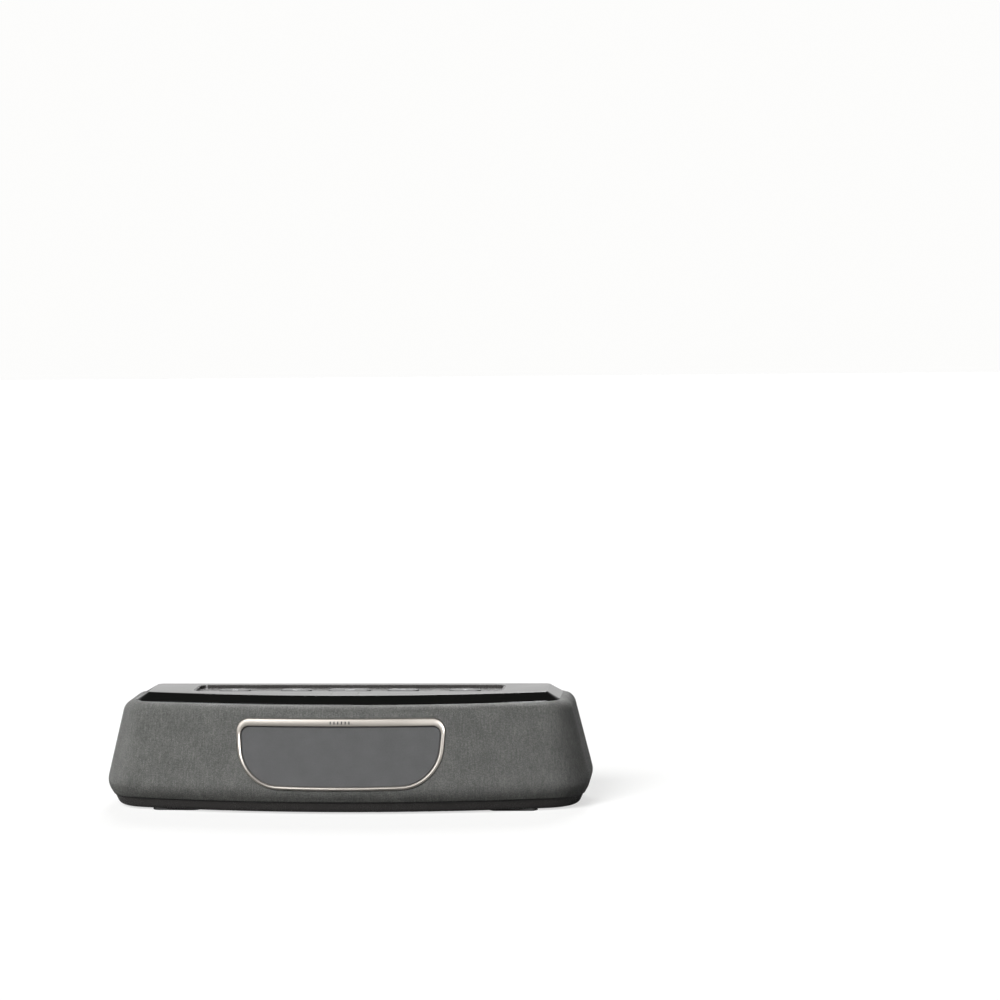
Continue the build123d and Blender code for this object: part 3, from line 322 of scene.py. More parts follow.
def circuit_board():
    """Green solder mask with faint copper tracks under it."""
    graph = Graph("board_green")
    where = graph.place((1, 1, 0.01))
    tracks = graph.number("ShaderNodeTexVoronoi", "Distance", {"feature": "DISTANCE_TO_EDGE"},
                          {"Vector": where, "Scale": 260.0})
    line = 1 - tracks.above(0.09, 0.02)
    pads = 1 - graph.number("ShaderNodeTexVoronoi", "Distance", {"feature": "F1"},
                            {"Vector": where, "Scale": 190.0}).above(0.14, 0.02)
    green = graph.tint(line, (0.006, 0.045, 0.02), (0.02, 0.11, 0.05))
    colour = graph.node("ShaderNodeMix", {"data_type": "RGBA"},
                        {"Factor": pads, "A": green, "B": (0.6, 0.58, 0.52, 1)}).outputs["Result"]
    return graph.finish({"Base Color": colour, "Metallic": pads * 0.8, "Roughness": 0.38 - pads * 0.1,
                         "Normal": graph.bump(line, 0.03 * MM, 0.6)})


def paper_cone():
    """Pressed paper pulp with fibres."""
    graph = Graph("cone_paper")
    fibres = graph.noise(graph.place((1, 1, 0.2)), 0.5 * MM, 5.0, 0.75)
    pulp = graph.noise(graph.place(), 3 * MM, 3.0)
    return graph.finish({"Base Color": graph.tint(fibres * 0.7 + pulp * 0.3, (0.012, 0.012, 0.013),
                                                  (0.06, 0.058, 0.055)),
                         "Roughness": 0.7 + fibres * 0.2, "Normal": graph.bump(fibres, 0.06 * MM, 0.8)})


def milky_diffuser():
    graph = Graph("light_diffuser")
    haze = graph.noise(graph.place(), 2 * MM, 3.0)
    return graph.finish({"Base Color": graph.tint(haze, (0.72, 0.73, 0.75), (0.86, 0.87, 0.88)),
                         "Roughness": 0.45 + haze * 0.15, "Subsurface Weight": 0.2,
                         "Normal": graph.bump(haze, 0.02 * MM, 0.4)})


def white_print():
    """Matt white ink, slightly worn."""
    graph = Graph("white_print")
    wear = graph.noise(graph.place(), 0.7 * MM, 4.0, 0.7)
    return graph.finish({"Base Color": graph.tint(wear, (0.56, 0.57, 0.57), (0.78, 0.79, 0.79)),
                         "Roughness": 0.55 + wear * 0.15})


def pale_floor():
    """Pale to look at, with weak shadows, but it throws little light back on the object."""
    graph = Graph("pale_floor")
    cloud = graph.noise(graph.place(), 0.6, 3.0)
    matt = graph.node("ShaderNodeBsdfDiffuse", None,
                      {"Color": graph.tint(cloud, (0.95, 0.95, 0.945), (0.97, 0.97, 0.965))})
    glow = graph.node("ShaderNodeEmission", None, {"Color": (1, 1, 0.995, 1), "Strength": 1.0})
    dull = graph.node("ShaderNodeBsdfDiffuse", None, {"Color": (0.16, 0.16, 0.16, 1)})
    seen = graph.node("ShaderNodeMixShader", None, {0: 0.66, 1: matt.outputs[0], 2: glow.outputs[0]})
    direct = graph.node("ShaderNodeLightPath").outputs["Is Camera Ray"]
    return graph.finish({0: direct, 1: dull.outputs[0], 2: seen.outputs[0]}, "ShaderNodeMixShader")


def make_finishes():
    """Every material slot of the record, by name."""
    return {
        "speaker_cloth": speaker_cloth(),
        "display_cloth": display_cloth(),
        "gloss_black": gloss_black(),
        "satin_black": moulded("satin_black", (0.03, 0.028, 0.027), (0.045, 0.0425, 0.041), 0.22, 0.25 * MM,
                               0.006 * MM, 0.6),
        "key_rubber": moulded("key_rubber", (0.02, 0.02, 0.02), (0.034, 0.034, 0.034), 0.5, 0.22 * MM,
                              0.015 * MM),
        "inner_plastic": moulded("inner_plastic", (0.006, 0.0063, 0.0062), (0.012, 0.0123, 0.012), 0.5,
                                 0.5 * MM, 0.04 * MM, 0.3),
        "ring_metal": brushed("ring_metal", (0.205, 0.188, 0.168), (0.285, 0.265, 0.24), 0.45, 0.38),
        "foot_rubber": moulded("foot_rubber", (0.018, 0.018, 0.018), (0.03, 0.03, 0.03), 0.75, 0.5 * MM,
                               0.05 * MM, 0.3),
        "board_green": circuit_board(),
        "chip_black": moulded("chip_black", (0.015, 0.015, 0.016), (0.03, 0.03, 0.031), 0.5, 0.18 * MM,
                              0.01 * MM),
        "heat_sink_metal": brushed("heat_sink_metal", (0.50, 0.51, 0.52), (0.66, 0.67, 0.68), 1.0, 0.42),
        "light_diffuser": milky_diffuser(),
        "socket_black": moulded("socket_black", (0.014, 0.014, 0.014), (0.024, 0.024, 0.024), 0.4, 0.4 * MM,
                                0.015 * MM),
        "socket_tin": brushed("socket_tin", (0.58, 0.58, 0.57), (0.74, 0.74, 0.73), 1.0, 0.3),
        "screw_steel": brushed("screw_steel", (0.22, 0.22, 0.225), (0.36, 0.36, 0.365), 1.0, 0.34,
                               (1, 1, 0.1), 0.2 * MM),
        "lead_jacket": moulded("lead_jacket", (0.35, 0.025, 0.02), (0.5, 0.05, 0.04), 0.45, 0.6 * MM,
                               0.02 * MM),
        "tweeter_silk": moulded("tweeter_silk", (0.02, 0.02, 0.021), (0.05, 0.05, 0.05), 0.6, 0.3 * MM,
                                0.05 * MM),
        "tweeter_body": moulded("tweeter_body", (0.014, 0.014, 0.014), (0.024, 0.024, 0.024), 0.42),
        "basket_steel": brushed("basket_steel", (0.05, 0.05, 0.052), (0.09, 0.09, 0.09), 0.7, 0.42),
        "magnet_ferrite": moulded("magnet_ferrite", (0.05, 0.05, 0.052), (0.09, 0.088, 0.085), 0.6, 0.4 * MM,
                                  0.03 * MM),
        "cone_paper": paper_cone(),
        "surround_rubber": moulded("surround_rubber", (0.012, 0.012, 0.012), (0.02, 0.02, 0.02), 0.42),
    }


# ---- mesh helpers -------------------------------------------------------------------------------------
def new_piece(name, points, faces, material, smooth=True):
    """A mesh object with its faces pointing outwards."""
    mesh = bpy.data.meshes.new(name)
    mesh.from_pydata([tuple(p) for p in points], [], faces)
    mesh.materials.append(material)
    piece = bpy.data.objects.new(name, mesh)
    bpy.context.scene.collection.objects.link(piece)
    outwards(mesh)
    for polygon in mesh.polygons:
        polygon.use_smooth = smooth
    return piece


def outwards(mesh, merge=1e-7):
    work = bmesh.new()
    work.from_mesh(mesh)
    bmesh.ops.remove_doubles(work, verts=work.verts, dist=merge)
    bmesh.ops.recalc_face_normals(work, faces=work.faces)
    work.to_mesh(mesh)
    work.free()


def lofted(rings, close_ends=False, closed_section=False):
    """Points and faces of a skin through equal closed rings of points."""
    count = len(rings[0])
    points = [p for ring in rings for p in ring]
    faces = []
    spans = len(rings) if closed_section else len(rings) - 1
    for j in range(spans):
        a, b = j * count, (j + 1) % len(rings) * count
        for k in range(count):
            n = (k + 1) % count
            faces.append((a + k, a + n, b + n, b + k))
    if close_ends:
        faces.append(tuple(range(count)))
        faces.append(tuple(range((len(rings) - 1) * count, len(rings) * count)))
    return points, faces


def settled(piece):
    """Applies every modifier, so that the piece is a plain mesh."""
    bpy.context.view_layer.update()
    evaluated = piece.evaluated_get(bpy.context.evaluated_depsgraph_get())
    mesh = bpy.data.meshes.new_from_object(evaluated)
    old = piece.data
    if piece.type == "MESH":
        piece.modifiers.clear()
        piece.data = mesh
        mesh.name = piece.name
        return piece
    name = piece.name
    bpy.data.objects.remove(piece)
    made = bpy.data.objects.new(name, mesh)
    bpy.context.scene.collection.objects.link(made)
    if old.users == 0:
        bpy.data.curves.remove(old)
    return made


def cut(piece, tool):
    """Takes one closed mesh out of another, and removes the tool."""
    step = piece.modifiers.new("cut", "BOOLEAN")
    step.operation = "DIFFERENCE"
    step.solver = "EXACT"
    step.object = tool
    settled(piece)
    bpy.data.objects.remove(tool)
    return piece


def eased(piece, width, segments=3, angle=30):
    """Rounds the sharp edges and keeps the flat faces flat."""
    edge = piece.modifiers.new("edges", "BEVEL")
    edge.width = width
    edge.segments = segments
    edge.limit_method = "ANGLE"
    edge.angle_limit = radians(angle)
    edge.harden_normals = True
    edge.use_clamp_overlap = True
    return settled(piece)


def arc(centre_x, centre_y, radius, start, end, count):
    """Points of an arc from one angle to another."""
    angles = [start + (end - start) * k / count for k in range(count + 1)]
    return [(centre_x + radius * cos(a), centre_y + radius * sin(a)) for a in angles]


def rounded_rectangle(x, y, length, depth, corner, count=12):
    """Closed outline of a rounded rectangle, anticlockwise."""
    half_x, half_y = length / 2 - corner, depth / 2 - corner
    outline = []
    for k, (sx, sy) in enumerate(((1, 1), (-1, 1), (-1, -1), (1, -1))):
        outline += arc(x + sx * half_x, y + sy * half_y, corner, k * pi / 2, (k + 1) * pi / 2, count)
    return outline


def prism(name, outline, low, high, material):
    """Upright prism over a closed outline."""
    rings = [[(x, y, z) for x, y in outline] for z in (low, high)]
    points, faces = lofted(rings, close_ends=True)
    return new_piece(name, points, faces, material, smooth=False)


# ---- the casing's walls -------------------------------------------------------------------------------
def wall_inset(z):
    """How far in the wall lies at a height, from the sharp outline of the widest line."""
    if z > WAIST_CENTRE_Z + WAIST_R * sin(LEAN):
        return (z - WAIST_Z) * tan(LEAN)
    if z < WAIST_CENTRE_Z - WAIST_R * sin(TUCK):
        return (WAIST_Z - z) * tan(TUCK)
    return WAIST_CENTRE - sqrt(WAIST_R ** 2 - (z - WAIST_CENTRE_Z) ** 2)


def on_front(x, z, out=0.0):
    """Point of the bowed front at x and z, moved out by a distance."""
    bow = FRONT_BOW - wall_inset(z) + out
    return (x, BOW_CENTRE_Y - sqrt(bow ** 2 - x ** 2), z)


def half_outline(step):
    """Right half of the widest line from the middle of the front to its straight side: point, outward
    normal and distance along it, with the last point where the side starts."""
    places = []
    bow_steps = max(2, round(FRONT_BOW * BOW_HALF_ANGLE / step))
    for k in range(bow_steps):
        angle = BOW_HALF_ANGLE * k / bow_steps
        places.append(((FRONT_BOW * sin(angle), BOW_CENTRE_Y - FRONT_BOW * cos(angle)),
                       (sin(angle), -cos(angle)), FRONT_BOW * angle))
    travelled = FRONT_BOW * BOW_HALF_ANGLE
    turn = pi / 2 - BOW_HALF_ANGLE
    corner_steps = max(10, round(CORNER_R * turn / step))
    for k in range(corner_steps + 1):
        angle = BOW_HALF_ANGLE + turn * k / corner_steps
        places.append(((CORNER_X + CORNER_R * sin(angle), CORNER_Y - CORNER_R * cos(angle)),
                       (sin(angle), -cos(angle)), travelled + CORNER_R * turn * k / corner_steps))
    return places


def along_side(places, end_y, step):
    """The half outline carried on along the straight side to a depth."""
    (x, y), normal, travelled = places[-1]
    count = max(1, round((end_y - y) / step))
    more = [((x, y + (end_y - y) * k / count), normal, travelled + (end_y - y) * k / count)
            for k in range(1, count + 1)]
    return places + more


def mirrored(places):
    """The whole outline from its left end to its right end."""
    left = [((-x, y), (-nx, ny), -s) for (x, y), (nx, ny), s in reversed(places[1:])]
    return left + places


def cloth_profile(step):
    """The cloth from its lower edge up to its lip: inset, height and distance, with normals."""
    section = []
    low_z = WAIST_CENTRE_Z - WAIST_R * sin(TUCK)
    high_z = WAIST_CENTRE_Z + WAIST_R * sin(LEAN)
    shoulder_z = SHOULDER_CENTRE_Z + SHOULDER_R * sin(LEAN)
    count = max(1, round((low_z - BODY_LOW) / step))
    section += [(wall_inset(z), z) for z in (BODY_LOW + (low_z - BODY_LOW) * k / count for k in range(count))]
    count = round(WAIST_R * (LEAN + TUCK) / step)
    section += [(WAIST_CENTRE - WAIST_R * cos(a), WAIST_CENTRE_Z + WAIST_R * sin(a))
                for a in (-TUCK + (LEAN + TUCK) * k / count for k in range(count))]
    count = round((shoulder_z - high_z) / cos(LEAN) / step)
    section += [(wall_inset(z), z)
                for z in (high_z + (shoulder_z - high_z) * k / count for k in range(count))]
    count = round(SHOULDER_R * (pi / 2 - LEAN) / (step * 0.8))
    section += [(SHOULDER_CENTRE - SHOULDER_R * cos(a), SHOULDER_CENTRE_Z + SHOULDER_R * sin(a))
                for a in (LEAN + (pi / 2 - LEAN) * k / count for k in range(count))]
    section += [(SHOULDER_CENTRE + (PLATE_INSET + CLOTH_LIP - SHOULDER_CENTRE) * k / 2, SHOULDER_Z)
                for k in range(3)]
    return section


def crease(across, up, centre, height, length, width, depth):
    """One soft fold in the cloth, as a height above its surface."""
    near = ((across - centre) / length) ** 2 + ((up - height) / width) ** 2
    return depth * (1 - near) ** 2 if near < 1 else 0.0


def cloth_relief(across, up):
    """Faint creases where the cloth is pulled round the corners, and the slack between them."""
    corner = FRONT_BOW * BOW_HALF_ANGLE
    top = SHOULDER_Z - BODY_LOW
    relief = 0.06 * MM * sin(across / (31 * MM)) * sin(up / (17 * MM) + 0.8)
    relief += crease(across, up, -corner - 4 * MM, top - 1.5 * MM, 11 * MM, 1.3 * MM, 0.45 * MM)
    relief += crease(across, up, -corner + 2 * MM, top - 5.5 * MM, 14 * MM, 1.6 * MM, 0.2 * MM)
    relief += crease(across, up, corner - 16 * MM, top - 2.5 * MM, 19 * MM, 1.5 * MM, 0.22 * MM)
    relief += crease(across, up, corner + 6 * MM, top - 4.5 * MM, 13 * MM, 1.5 * MM, 0.25 * MM)
    for side in (-1, 1):
        relief += crease(across, up, side * (corner + 22 * MM), 9 * MM, 24 * MM, 2.0 * MM, 0.16 * MM)
    return relief


# ---- speaker cloth ------------------------------------------------------------------------------------
def make_speaker_cloth(finish):
    outline = mirrored(along_side(half_outline(CLOTH_STEP), SEAM_Y, CLOTH_STEP))
    section = cloth_profile(CLOTH_STEP * 0.75)
    heights = [0.0]
    for (i0, z0), (i1, z1) in zip(section, section[1:]):
        heights.append(heights[-1] + sqrt((i1 - i0) ** 2 + (z1 - z0) ** 2))
    points, flat = [], []
    for (inset, z), up in zip(section, heights):
        for (x, y), (nx, ny), across in outline:
            fade = min(1.0, up / (3 * MM), max(0.0, (heights[-1] - up - 6 * MM) / (3 * MM)))
            out = cloth_relief(across, up) * fade - inset
            points.append((x + nx * out, y + ny * out, z))
            flat.append((across, up))
    width = len(outline)
    faces = [(j * width + k, j * width + k + 1, (j + 1) * width + k + 1, (j + 1) * width + k)
             for j in range(len(section) - 1) for k in range(width - 1)]
    cloth = new_piece("speaker_cloth", points, faces, finish)
    turn_towards(cloth.data, Vector((0, -1, 0)))
    layer = cloth.data.uv_layers.new(name="cloth")
    for loop in cloth.data.loops:
        layer.data[loop.index].uv = flat[loop.vertex_index]
    wall = cloth.modifiers.new("wall", "SOLIDIFY")
    wall.thickness = CLOTH_THICK
    wall.offset = -1
    settled(cloth)
    rings = [[(x, y, z) for x, z in ring_outline(-0.15 * MM)] for y in (-0.2, 0.0)]
    tool_points, tool_faces = lofted(rings, close_ends=True)
    cut(cloth, new_piece("ring_tool", tool_points, tool_faces, finish, smooth=False))
    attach(cloth, "casing")
    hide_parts("grille_cloth")
    length = outline[-1][2] - outline[0][2]
    opening = 2 * RING_TOP_HALF * (RING_TOP_Z - RING_LOW_Z) * 0.95
    length * heights[-1] * 0.93 - opening
    return cloth


def turn_towards(mesh, direction):
    """Flips an open sheet if its faces point away from a direction."""
    if sum(polygon.normal.dot(direction) * polygon.area for polygon in mesh.polygons) < 0:
        mesh.flip_normals()


# ---- front ring and display ---------------------------------------------------------------------------
def ring_outline(inwards, top_bar=0.0, side_bar=0.0, low_bar=0.0, count=14):
    """Closed outline of the ring in X and Z, clockwise from its top left, moved in by a distance and by
    the bars' widths. Every outline has the same number of points."""
    top = RING_TOP_Z - top_bar - inwards
    low = RING_LOW_Z + low_bar + inwards
    half_top = RING_TOP_HALF - side_bar - inwards
    half_low = RING_LOW_HALF - side_bar - inwards
    corners = [(-half_top, top), (half_top, top), (half_low, low), (-half_low, low)]
    radii = [max(RING_TOP_R - side_bar - inwards, 0.5 * MM)] * 2 + [RING_LOW_R - side_bar - inwards] * 2
    arcs = []
    for k, radius in enumerate(radii):
        here = Vector(corners[k])
        before = (Vector(corners[k - 1]) - here).normalized()
        after = (Vector(corners[(k + 1) % 4]) - here).normalized()
        opening = before.angle(after)
        centre = here + (before + after).normalized() * radius / sin(opening / 2)
        first = here + before * radius / tan(opening / 2) - centre
        last = here + after * radius / tan(opening / 2) - centre
        turn = first.angle(last)
        arcs.append([centre + (first * sin(turn * (1 - t)) + last * sin(turn * t)) / sin(turn)
                     for t in (j / count for j in range(count + 1))])
    outline = []
    for k, points in enumerate(arcs):
        outline += points
        start, end = points[-1], arcs[(k + 1) % 4][0]
        spans = 26 if k % 2 == 0 else 10
        outline += [start.lerp(end, j / spans) for j in range(1, spans)]
    sagged = []
    for point in outline:
        share = min(1.0, max(0.0, (low + radii[2] - point.y) / radii[2]))
        sag = RING_SAG * max(0.0, 1 - (point.x / half_low) ** 2) * share
        sagged.append((point.x, point.y - sag))
    return sagged


def make_front_ring(finish):
    outer = ring_outline(0)
    inner = ring_outline(0, RING_TOP_BAR, RING_SIDE_BAR, RING_LOW_BAR)
    edge = 0.75 * MM
    low = RING_PROUD - RING_CROWN
    rounding = [(edge * (1 - cos(a)), low - edge * (1 - sin(a))) for a in (pi / 8, pi / 4, pi * 3 / 8)]
    section = [(0, 0.0, -RING_DEEP), (0, 0.0, low - edge)]
    section += [(0, distance, height) for distance, height in rounding]
    section += [(0, edge, low), (2, 0.0, RING_PROUD), (1, edge, low)]
    section += [(1, distance, height) for distance, height in reversed(rounding)]
    section += [(1, 0.0, low - edge), (1, 0.0, -RING_DEEP)]
    rings = []
    for side, distance, height in section:
        ring = []
        for a, b in zip(outer, inner):
            first, last = Vector(a), Vector(b)
            direction = (last - first).normalized()
            spot = {0: first + direction * distance, 1: last - direction * distance,
                    2: (first + last) / 2}[side]
            ring.append(on_front(spot.x, spot.y, height))
        rings.append(ring)
    points, faces = lofted(rings, closed_section=True)
    ring = new_piece("front_ring", points, faces, finish)
    ring.data.set_sharp_from_angle(angle=radians(40))
    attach(ring, "casing")
    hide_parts("trim_ring")
    return ring


def make_display_cloth(finish):
    edge = ring_outline(0.05 * MM, RING_TOP_BAR, RING_SIDE_BAR, RING_LOW_BAR)
    middle = Vector((0, sum(z for _, z in edge) / len(edge)))
    shares = [1 - (k / 24) ** 1.15 for k in range(24)]
    flat_rings = [[middle.lerp(Vector(p), share) for p in edge] for share in shares]
    count = len(edge)
    flat = [p for ring in flat_rings for p in ring] + [middle]
    _, faces = lofted([[(p.x, p.y, 0) for p in ring] for ring in flat_rings])
    last = (len(flat_rings) - 1) * count
    faces += [(last + k, last + (k + 1) % count, len(flat) - 1) for k in range(count)]
    points = [on_front(p.x, p.y, -DISPLAY_SINK) for p in flat]
    sheet = new_piece("display_cloth", points, faces, finish)
    turn_towards(sheet.data, Vector((0, -1, 0)))
    layer = sheet.data.uv_layers.new(name="cloth")
    for loop in sheet.data.loops:
        layer.data[loop.index].uv = flat[loop.vertex_index]
    wall = sheet.modifiers.new("wall", "SOLIDIFY")
    wall.thickness = 0.5 * MM
    wall.offset = -1
    settled(sheet)
    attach(sheet, "casing")
    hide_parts("display_mesh")
    return sheet


# ---- top plate ----------------------------------------------------------------------------------------
def plate_loop():
    """The whole outline at the widest line, closed round the back, as points with normals."""
    side_end = BACK_Y - CORNER_R
    right = along_side(half_outline(2.5 * MM), side_end, 6 * MM)
    places = [(point, normal) for point, normal, _ in right]
    for k in range(1, 16):
        angle = pi / 2 * k / 16
        places.append(((CORNER_X + CORNER_R * cos(angle), side_end + CORNER_R * sin(angle)),
                       (cos(angle), sin(angle))))
    for k in range(11):
        places.append(((CORNER_X * (1 - k / 10), BACK_Y), (0, 1)))
    left = [((-x, y), (-nx, ny)) for (x, y), (nx, ny) in reversed(places[1:-1])]
    return places + left


def make_top_plate(finish):
    loop = plate_loop()
    face = PLATE_INSET + BEVEL
    slope = (PLATE_TOP - PLATE_LOW - PLATE_EDGE) / BEVEL
    lip = 0.5 * MM
    under = PLATE_TOP - PLATE_SKIN
    section = [
        (PLATE_INSET + 8 * MM, under), (PLATE_INSET + 4.2 * MM, PLATE_LOW),
        (PLATE_INSET + 0.15 * MM, PLATE_LOW), (PLATE_INSET, PLATE_LOW + 0.15 * MM),
        (PLATE_INSET, PLATE_LOW + PLATE_EDGE - 0.15 * MM),
        (PLATE_INSET + 0.05 * MM, PLATE_LOW + PLATE_EDGE),
        (PLATE_INSET + 0.2 * MM, PLATE_LOW + PLATE_EDGE + 0.2 * MM * slope),
        (face - lip, PLATE_TOP - lip * slope), (face - lip * 0.4, PLATE_TOP - lip * 0.26 * slope),
        (face + lip * 0.3, PLATE_TOP - 0.012 * MM), (face + lip, PLATE_TOP),
    ]
    rings = [[(x - nx * inset, y - ny * inset, z) for (x, y), (nx, ny) in loop] for inset, z in section]
    points, faces = lofted(rings, close_ends=True)
    plate = new_piece("top_cover", points, faces, finish)
    panel = rounded_rectangle(0, PANEL_Y, PANEL_LENGTH, PANEL_DEPTH, PANEL_CORNER)
    cut(plate, prism("panel_tool", panel, 0, 1, finish))
    x, y = (WINDOW_LOW.x + WINDOW_HIGH.x) / 2, (WINDOW_LOW.y + WINDOW_HIGH.y) / 2
    length, depth = WINDOW_HIGH.x - WINDOW_LOW.x, WINDOW_HIGH.y - WINDOW_LOW.y
    window = rounded_rectangle(x, y, length + 0.2 * MM, depth + 0.2 * MM, 2 * MM)
    cut(plate, prism("window_tool", window, WINDOW_LOW.z, 1, finish))
    hole = rounded_rectangle(x, y, length - 4 * MM, depth - 4 * MM, 1.5 * MM)
    cut(plate, prism("hole_tool", hole, 0, 1, finish))
    for polygon in plate.data.polygons:
        polygon.use_smooth = True
    eased(plate, 0.22 * MM, 2, 40)
    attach(plate, "casing")
    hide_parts("top_plate")
    return plate


# ---- geometry nodes -----------------------------------------------------------------------------------
def node_group(name, sockets):
    """An empty geometry node tree with named inputs, given as (name, type, default)."""
    tree = bpy.data.node_groups.new(name, "GeometryNodeTree")
    tree.interface.new_socket("Geometry", in_out="INPUT", socket_type="NodeSocketGeometry")
    for label, kind, default in sockets:
        made = tree.interface.new_socket(label, in_out="INPUT", socket_type=kind)
        if default is not None:
            made.default_value = default
    tree.interface.new_socket("Geometry", in_out="OUTPUT", socket_type="NodeSocketGeometry")
    return tree


def add(tree, kind, settings=None, inputs=None):
    """Adds a geometry node: its settings first, then the values or links of its sockets."""
    made = tree.nodes.new(kind)
    for name, value in (settings or {}).items():
        setattr(made, name, value)
    for name, value in (inputs or {}).items():
        if isinstance(value, bpy.types.NodeSocket):
            tree.links.new(value, made.inputs[name])
        else:
            made.inputs[name].default_value = value
    return made


def run_group(piece, tree, values):
    """Runs a geometry node tree on a piece with its inputs set by identifier, and keeps the result."""
    step = piece.modifiers.new(tree.name, "NODES")
    step.node_group = tree
    for item in tree.interface.items_tree:
        if item.item_type == "SOCKET" and item.in_out == "INPUT" and item.name in values:
            step[item.identifier] = values[item.name]
    return settled(piece)


def row_tree():
    """A row of small bars with rounded ends along X."""
    tree = node_group("bar_row", [
        ("Count", "NodeSocketInt", 5), ("Spacing", "NodeSocketFloat", 2 * MM),
        ("Length", "NodeSocketFloat", 2 * MM), ("Width", "NodeSocketFloat", 0.5 * MM),
        ("Height", "NodeSocketFloat", 0.2 * MM), ("Finish", "NodeSocketMaterial", None)])
    given = add(tree, "NodeGroupInput")
    step = add(tree, "ShaderNodeCombineXYZ", None, {"X": given.outputs["Spacing"]})
    spans = add(tree, "ShaderNodeMath", {"operation": "SUBTRACT"}, {0: given.outputs["Count"], 1: 1.0})
    whole = add(tree, "ShaderNodeMath", {"operation": "MULTIPLY"},
                {0: spans.outputs[0], 1: given.outputs["Spacing"]})
    first = add(tree, "ShaderNodeMath", {"operation": "MULTIPLY"}, {0: whole.outputs[0], 1: -0.5})
    start = add(tree, "ShaderNodeCombineXYZ", None, {"X": first.outputs[0]})
    line = add(tree, "GeometryNodeMeshLine", {"mode": "OFFSET"},
               {"Count": given.outputs["Count"], "Start Location": start.outputs[0],
                "Offset": step.outputs[0]})
    radius = add(tree, "ShaderNodeMath", {"operation": "MULTIPLY"}, {0: given.outputs["Width"], 1: 0.5})
    outline = add(tree, "GeometryNodeCurvePrimitiveQuadrilateral", {"mode": "RECTANGLE"},
                  {"Width": given.outputs["Width"], "Height": given.outputs["Length"]})
    rounded = add(tree, "GeometryNodeFilletCurve", {"mode": "POLY"},
                  {"Curve": outline.outputs[0], "Count": 4, "Radius": radius.outputs[0],
                   "Limit Radius": True})
    face = add(tree, "GeometryNodeFillCurve", {"mode": "NGONS"}, {"Curve": rounded.outputs[0]})
    solid = add(tree, "GeometryNodeExtrudeMesh", {"mode": "FACES"},
                {"Mesh": face.outputs[0], "Offset Scale": given.outputs["Height"]})
    under = add(tree, "GeometryNodeFlipFaces", None, {"Mesh": face.outputs[0]})
    closed = add(tree, "GeometryNodeJoinGeometry")
    tree.links.new(solid.outputs["Mesh"], closed.inputs[0])
    tree.links.new(under.outputs[0], closed.inputs[0])
    bar = add(tree, "GeometryNodeMergeByDistance", None, {"Geometry": closed.outputs[0], "Distance": 1e-6})
    placed = add(tree, "GeometryNodeInstanceOnPoints", None,
                 {"Points": line.outputs[0], "Instance": bar.outputs[0]})
    real = add(tree, "GeometryNodeRealizeInstances", None, {"Geometry": placed.outputs[0]})
    painted = add(tree, "GeometryNodeSetMaterial", None,
                  {"Geometry": real.outputs[0], "Material": given.outputs["Finish"]})
    result = add(tree, "NodeGroupOutput")
    tree.links.new(painted.outputs[0], result.inputs[0])
    return tree


def stroke_tree():
    """Turns drawn lines into flat raised strokes."""
    tree = node_group("stroke", [
        ("Width", "NodeSocketFloat", 0.6 * MM), ("Height", "NodeSocketFloat", 0.06 * MM),
        ("Finish", "NodeSocketMaterial", None)])
    given = add(tree, "NodeGroupInput")
    profile = add(tree, "GeometryNodeCurvePrimitiveQuadrilateral", {"mode": "RECTANGLE"},
                  {"Width": given.outputs["Width"], "Height": given.outputs["Height"]})
    solid = add(tree, "GeometryNodeCurveToMesh", None,
                {"Curve": given.outputs["Geometry"], "Profile Curve": profile.outputs[0], "Fill Caps": True})
    real = add(tree, "GeometryNodeRealizeInstances", None, {"Geometry": solid.outputs[0]})
    painted = add(tree, "GeometryNodeSetMaterial", None,
                  {"Geometry": real.outputs[0], "Material": given.outputs["Finish"]})
    result = add(tree, "NodeGroupOutput")
    tree.links.new(painted.outputs[0], result.inputs[0])
    return tree


def bar_row(tree, name, place, values):
    """A row of bars, put in its place."""
    mesh = bpy.data.meshes.new(name)
    piece = bpy.data.objects.new(name, mesh)
    bpy.context.scene.collection.objects.link(piece)
    run_group(piece, tree, values)
    piece.data.transform(place)
    return piece


# ---- keys and their marks -----------------------------------------------------------------------------
def ellipse(x, y, half_x, half_y, start=0.0, end=2 * pi, count=36):
    return [(x + half_x * cos(a), y + half_y * sin(a))
            for a in (start + (end - start) * k / count for k in range(count + 1))]


def key_marks():
    """The plain symbol of each key, as lines in millimetres about its middle."""
    half = 1.7
    return {
        "power_button": [ellipse(0, 0, half, half, radians(125), radians(415)), [(0, 0.5), (0, 2.1)]],
        "source_button": [[(-2.4, -1.3), (2.4, -1.3), (2.4, 1.4), (-2.4, 1.4), (-2.4, -1.3)],
                          [(-0.9, -2.1), (0.9, -2.1)]],
        "pairing_button": [ellipse(-1.3, 0, 1.9, 1.2), ellipse(1.3, 0, 1.9, 1.2)],
        "volume_down_button": [[(-half, 0), (half, 0)]],
        "volume_up_button": [[(-half, 0), (half, 0)], [(0, -half), (0, half)]],
    }


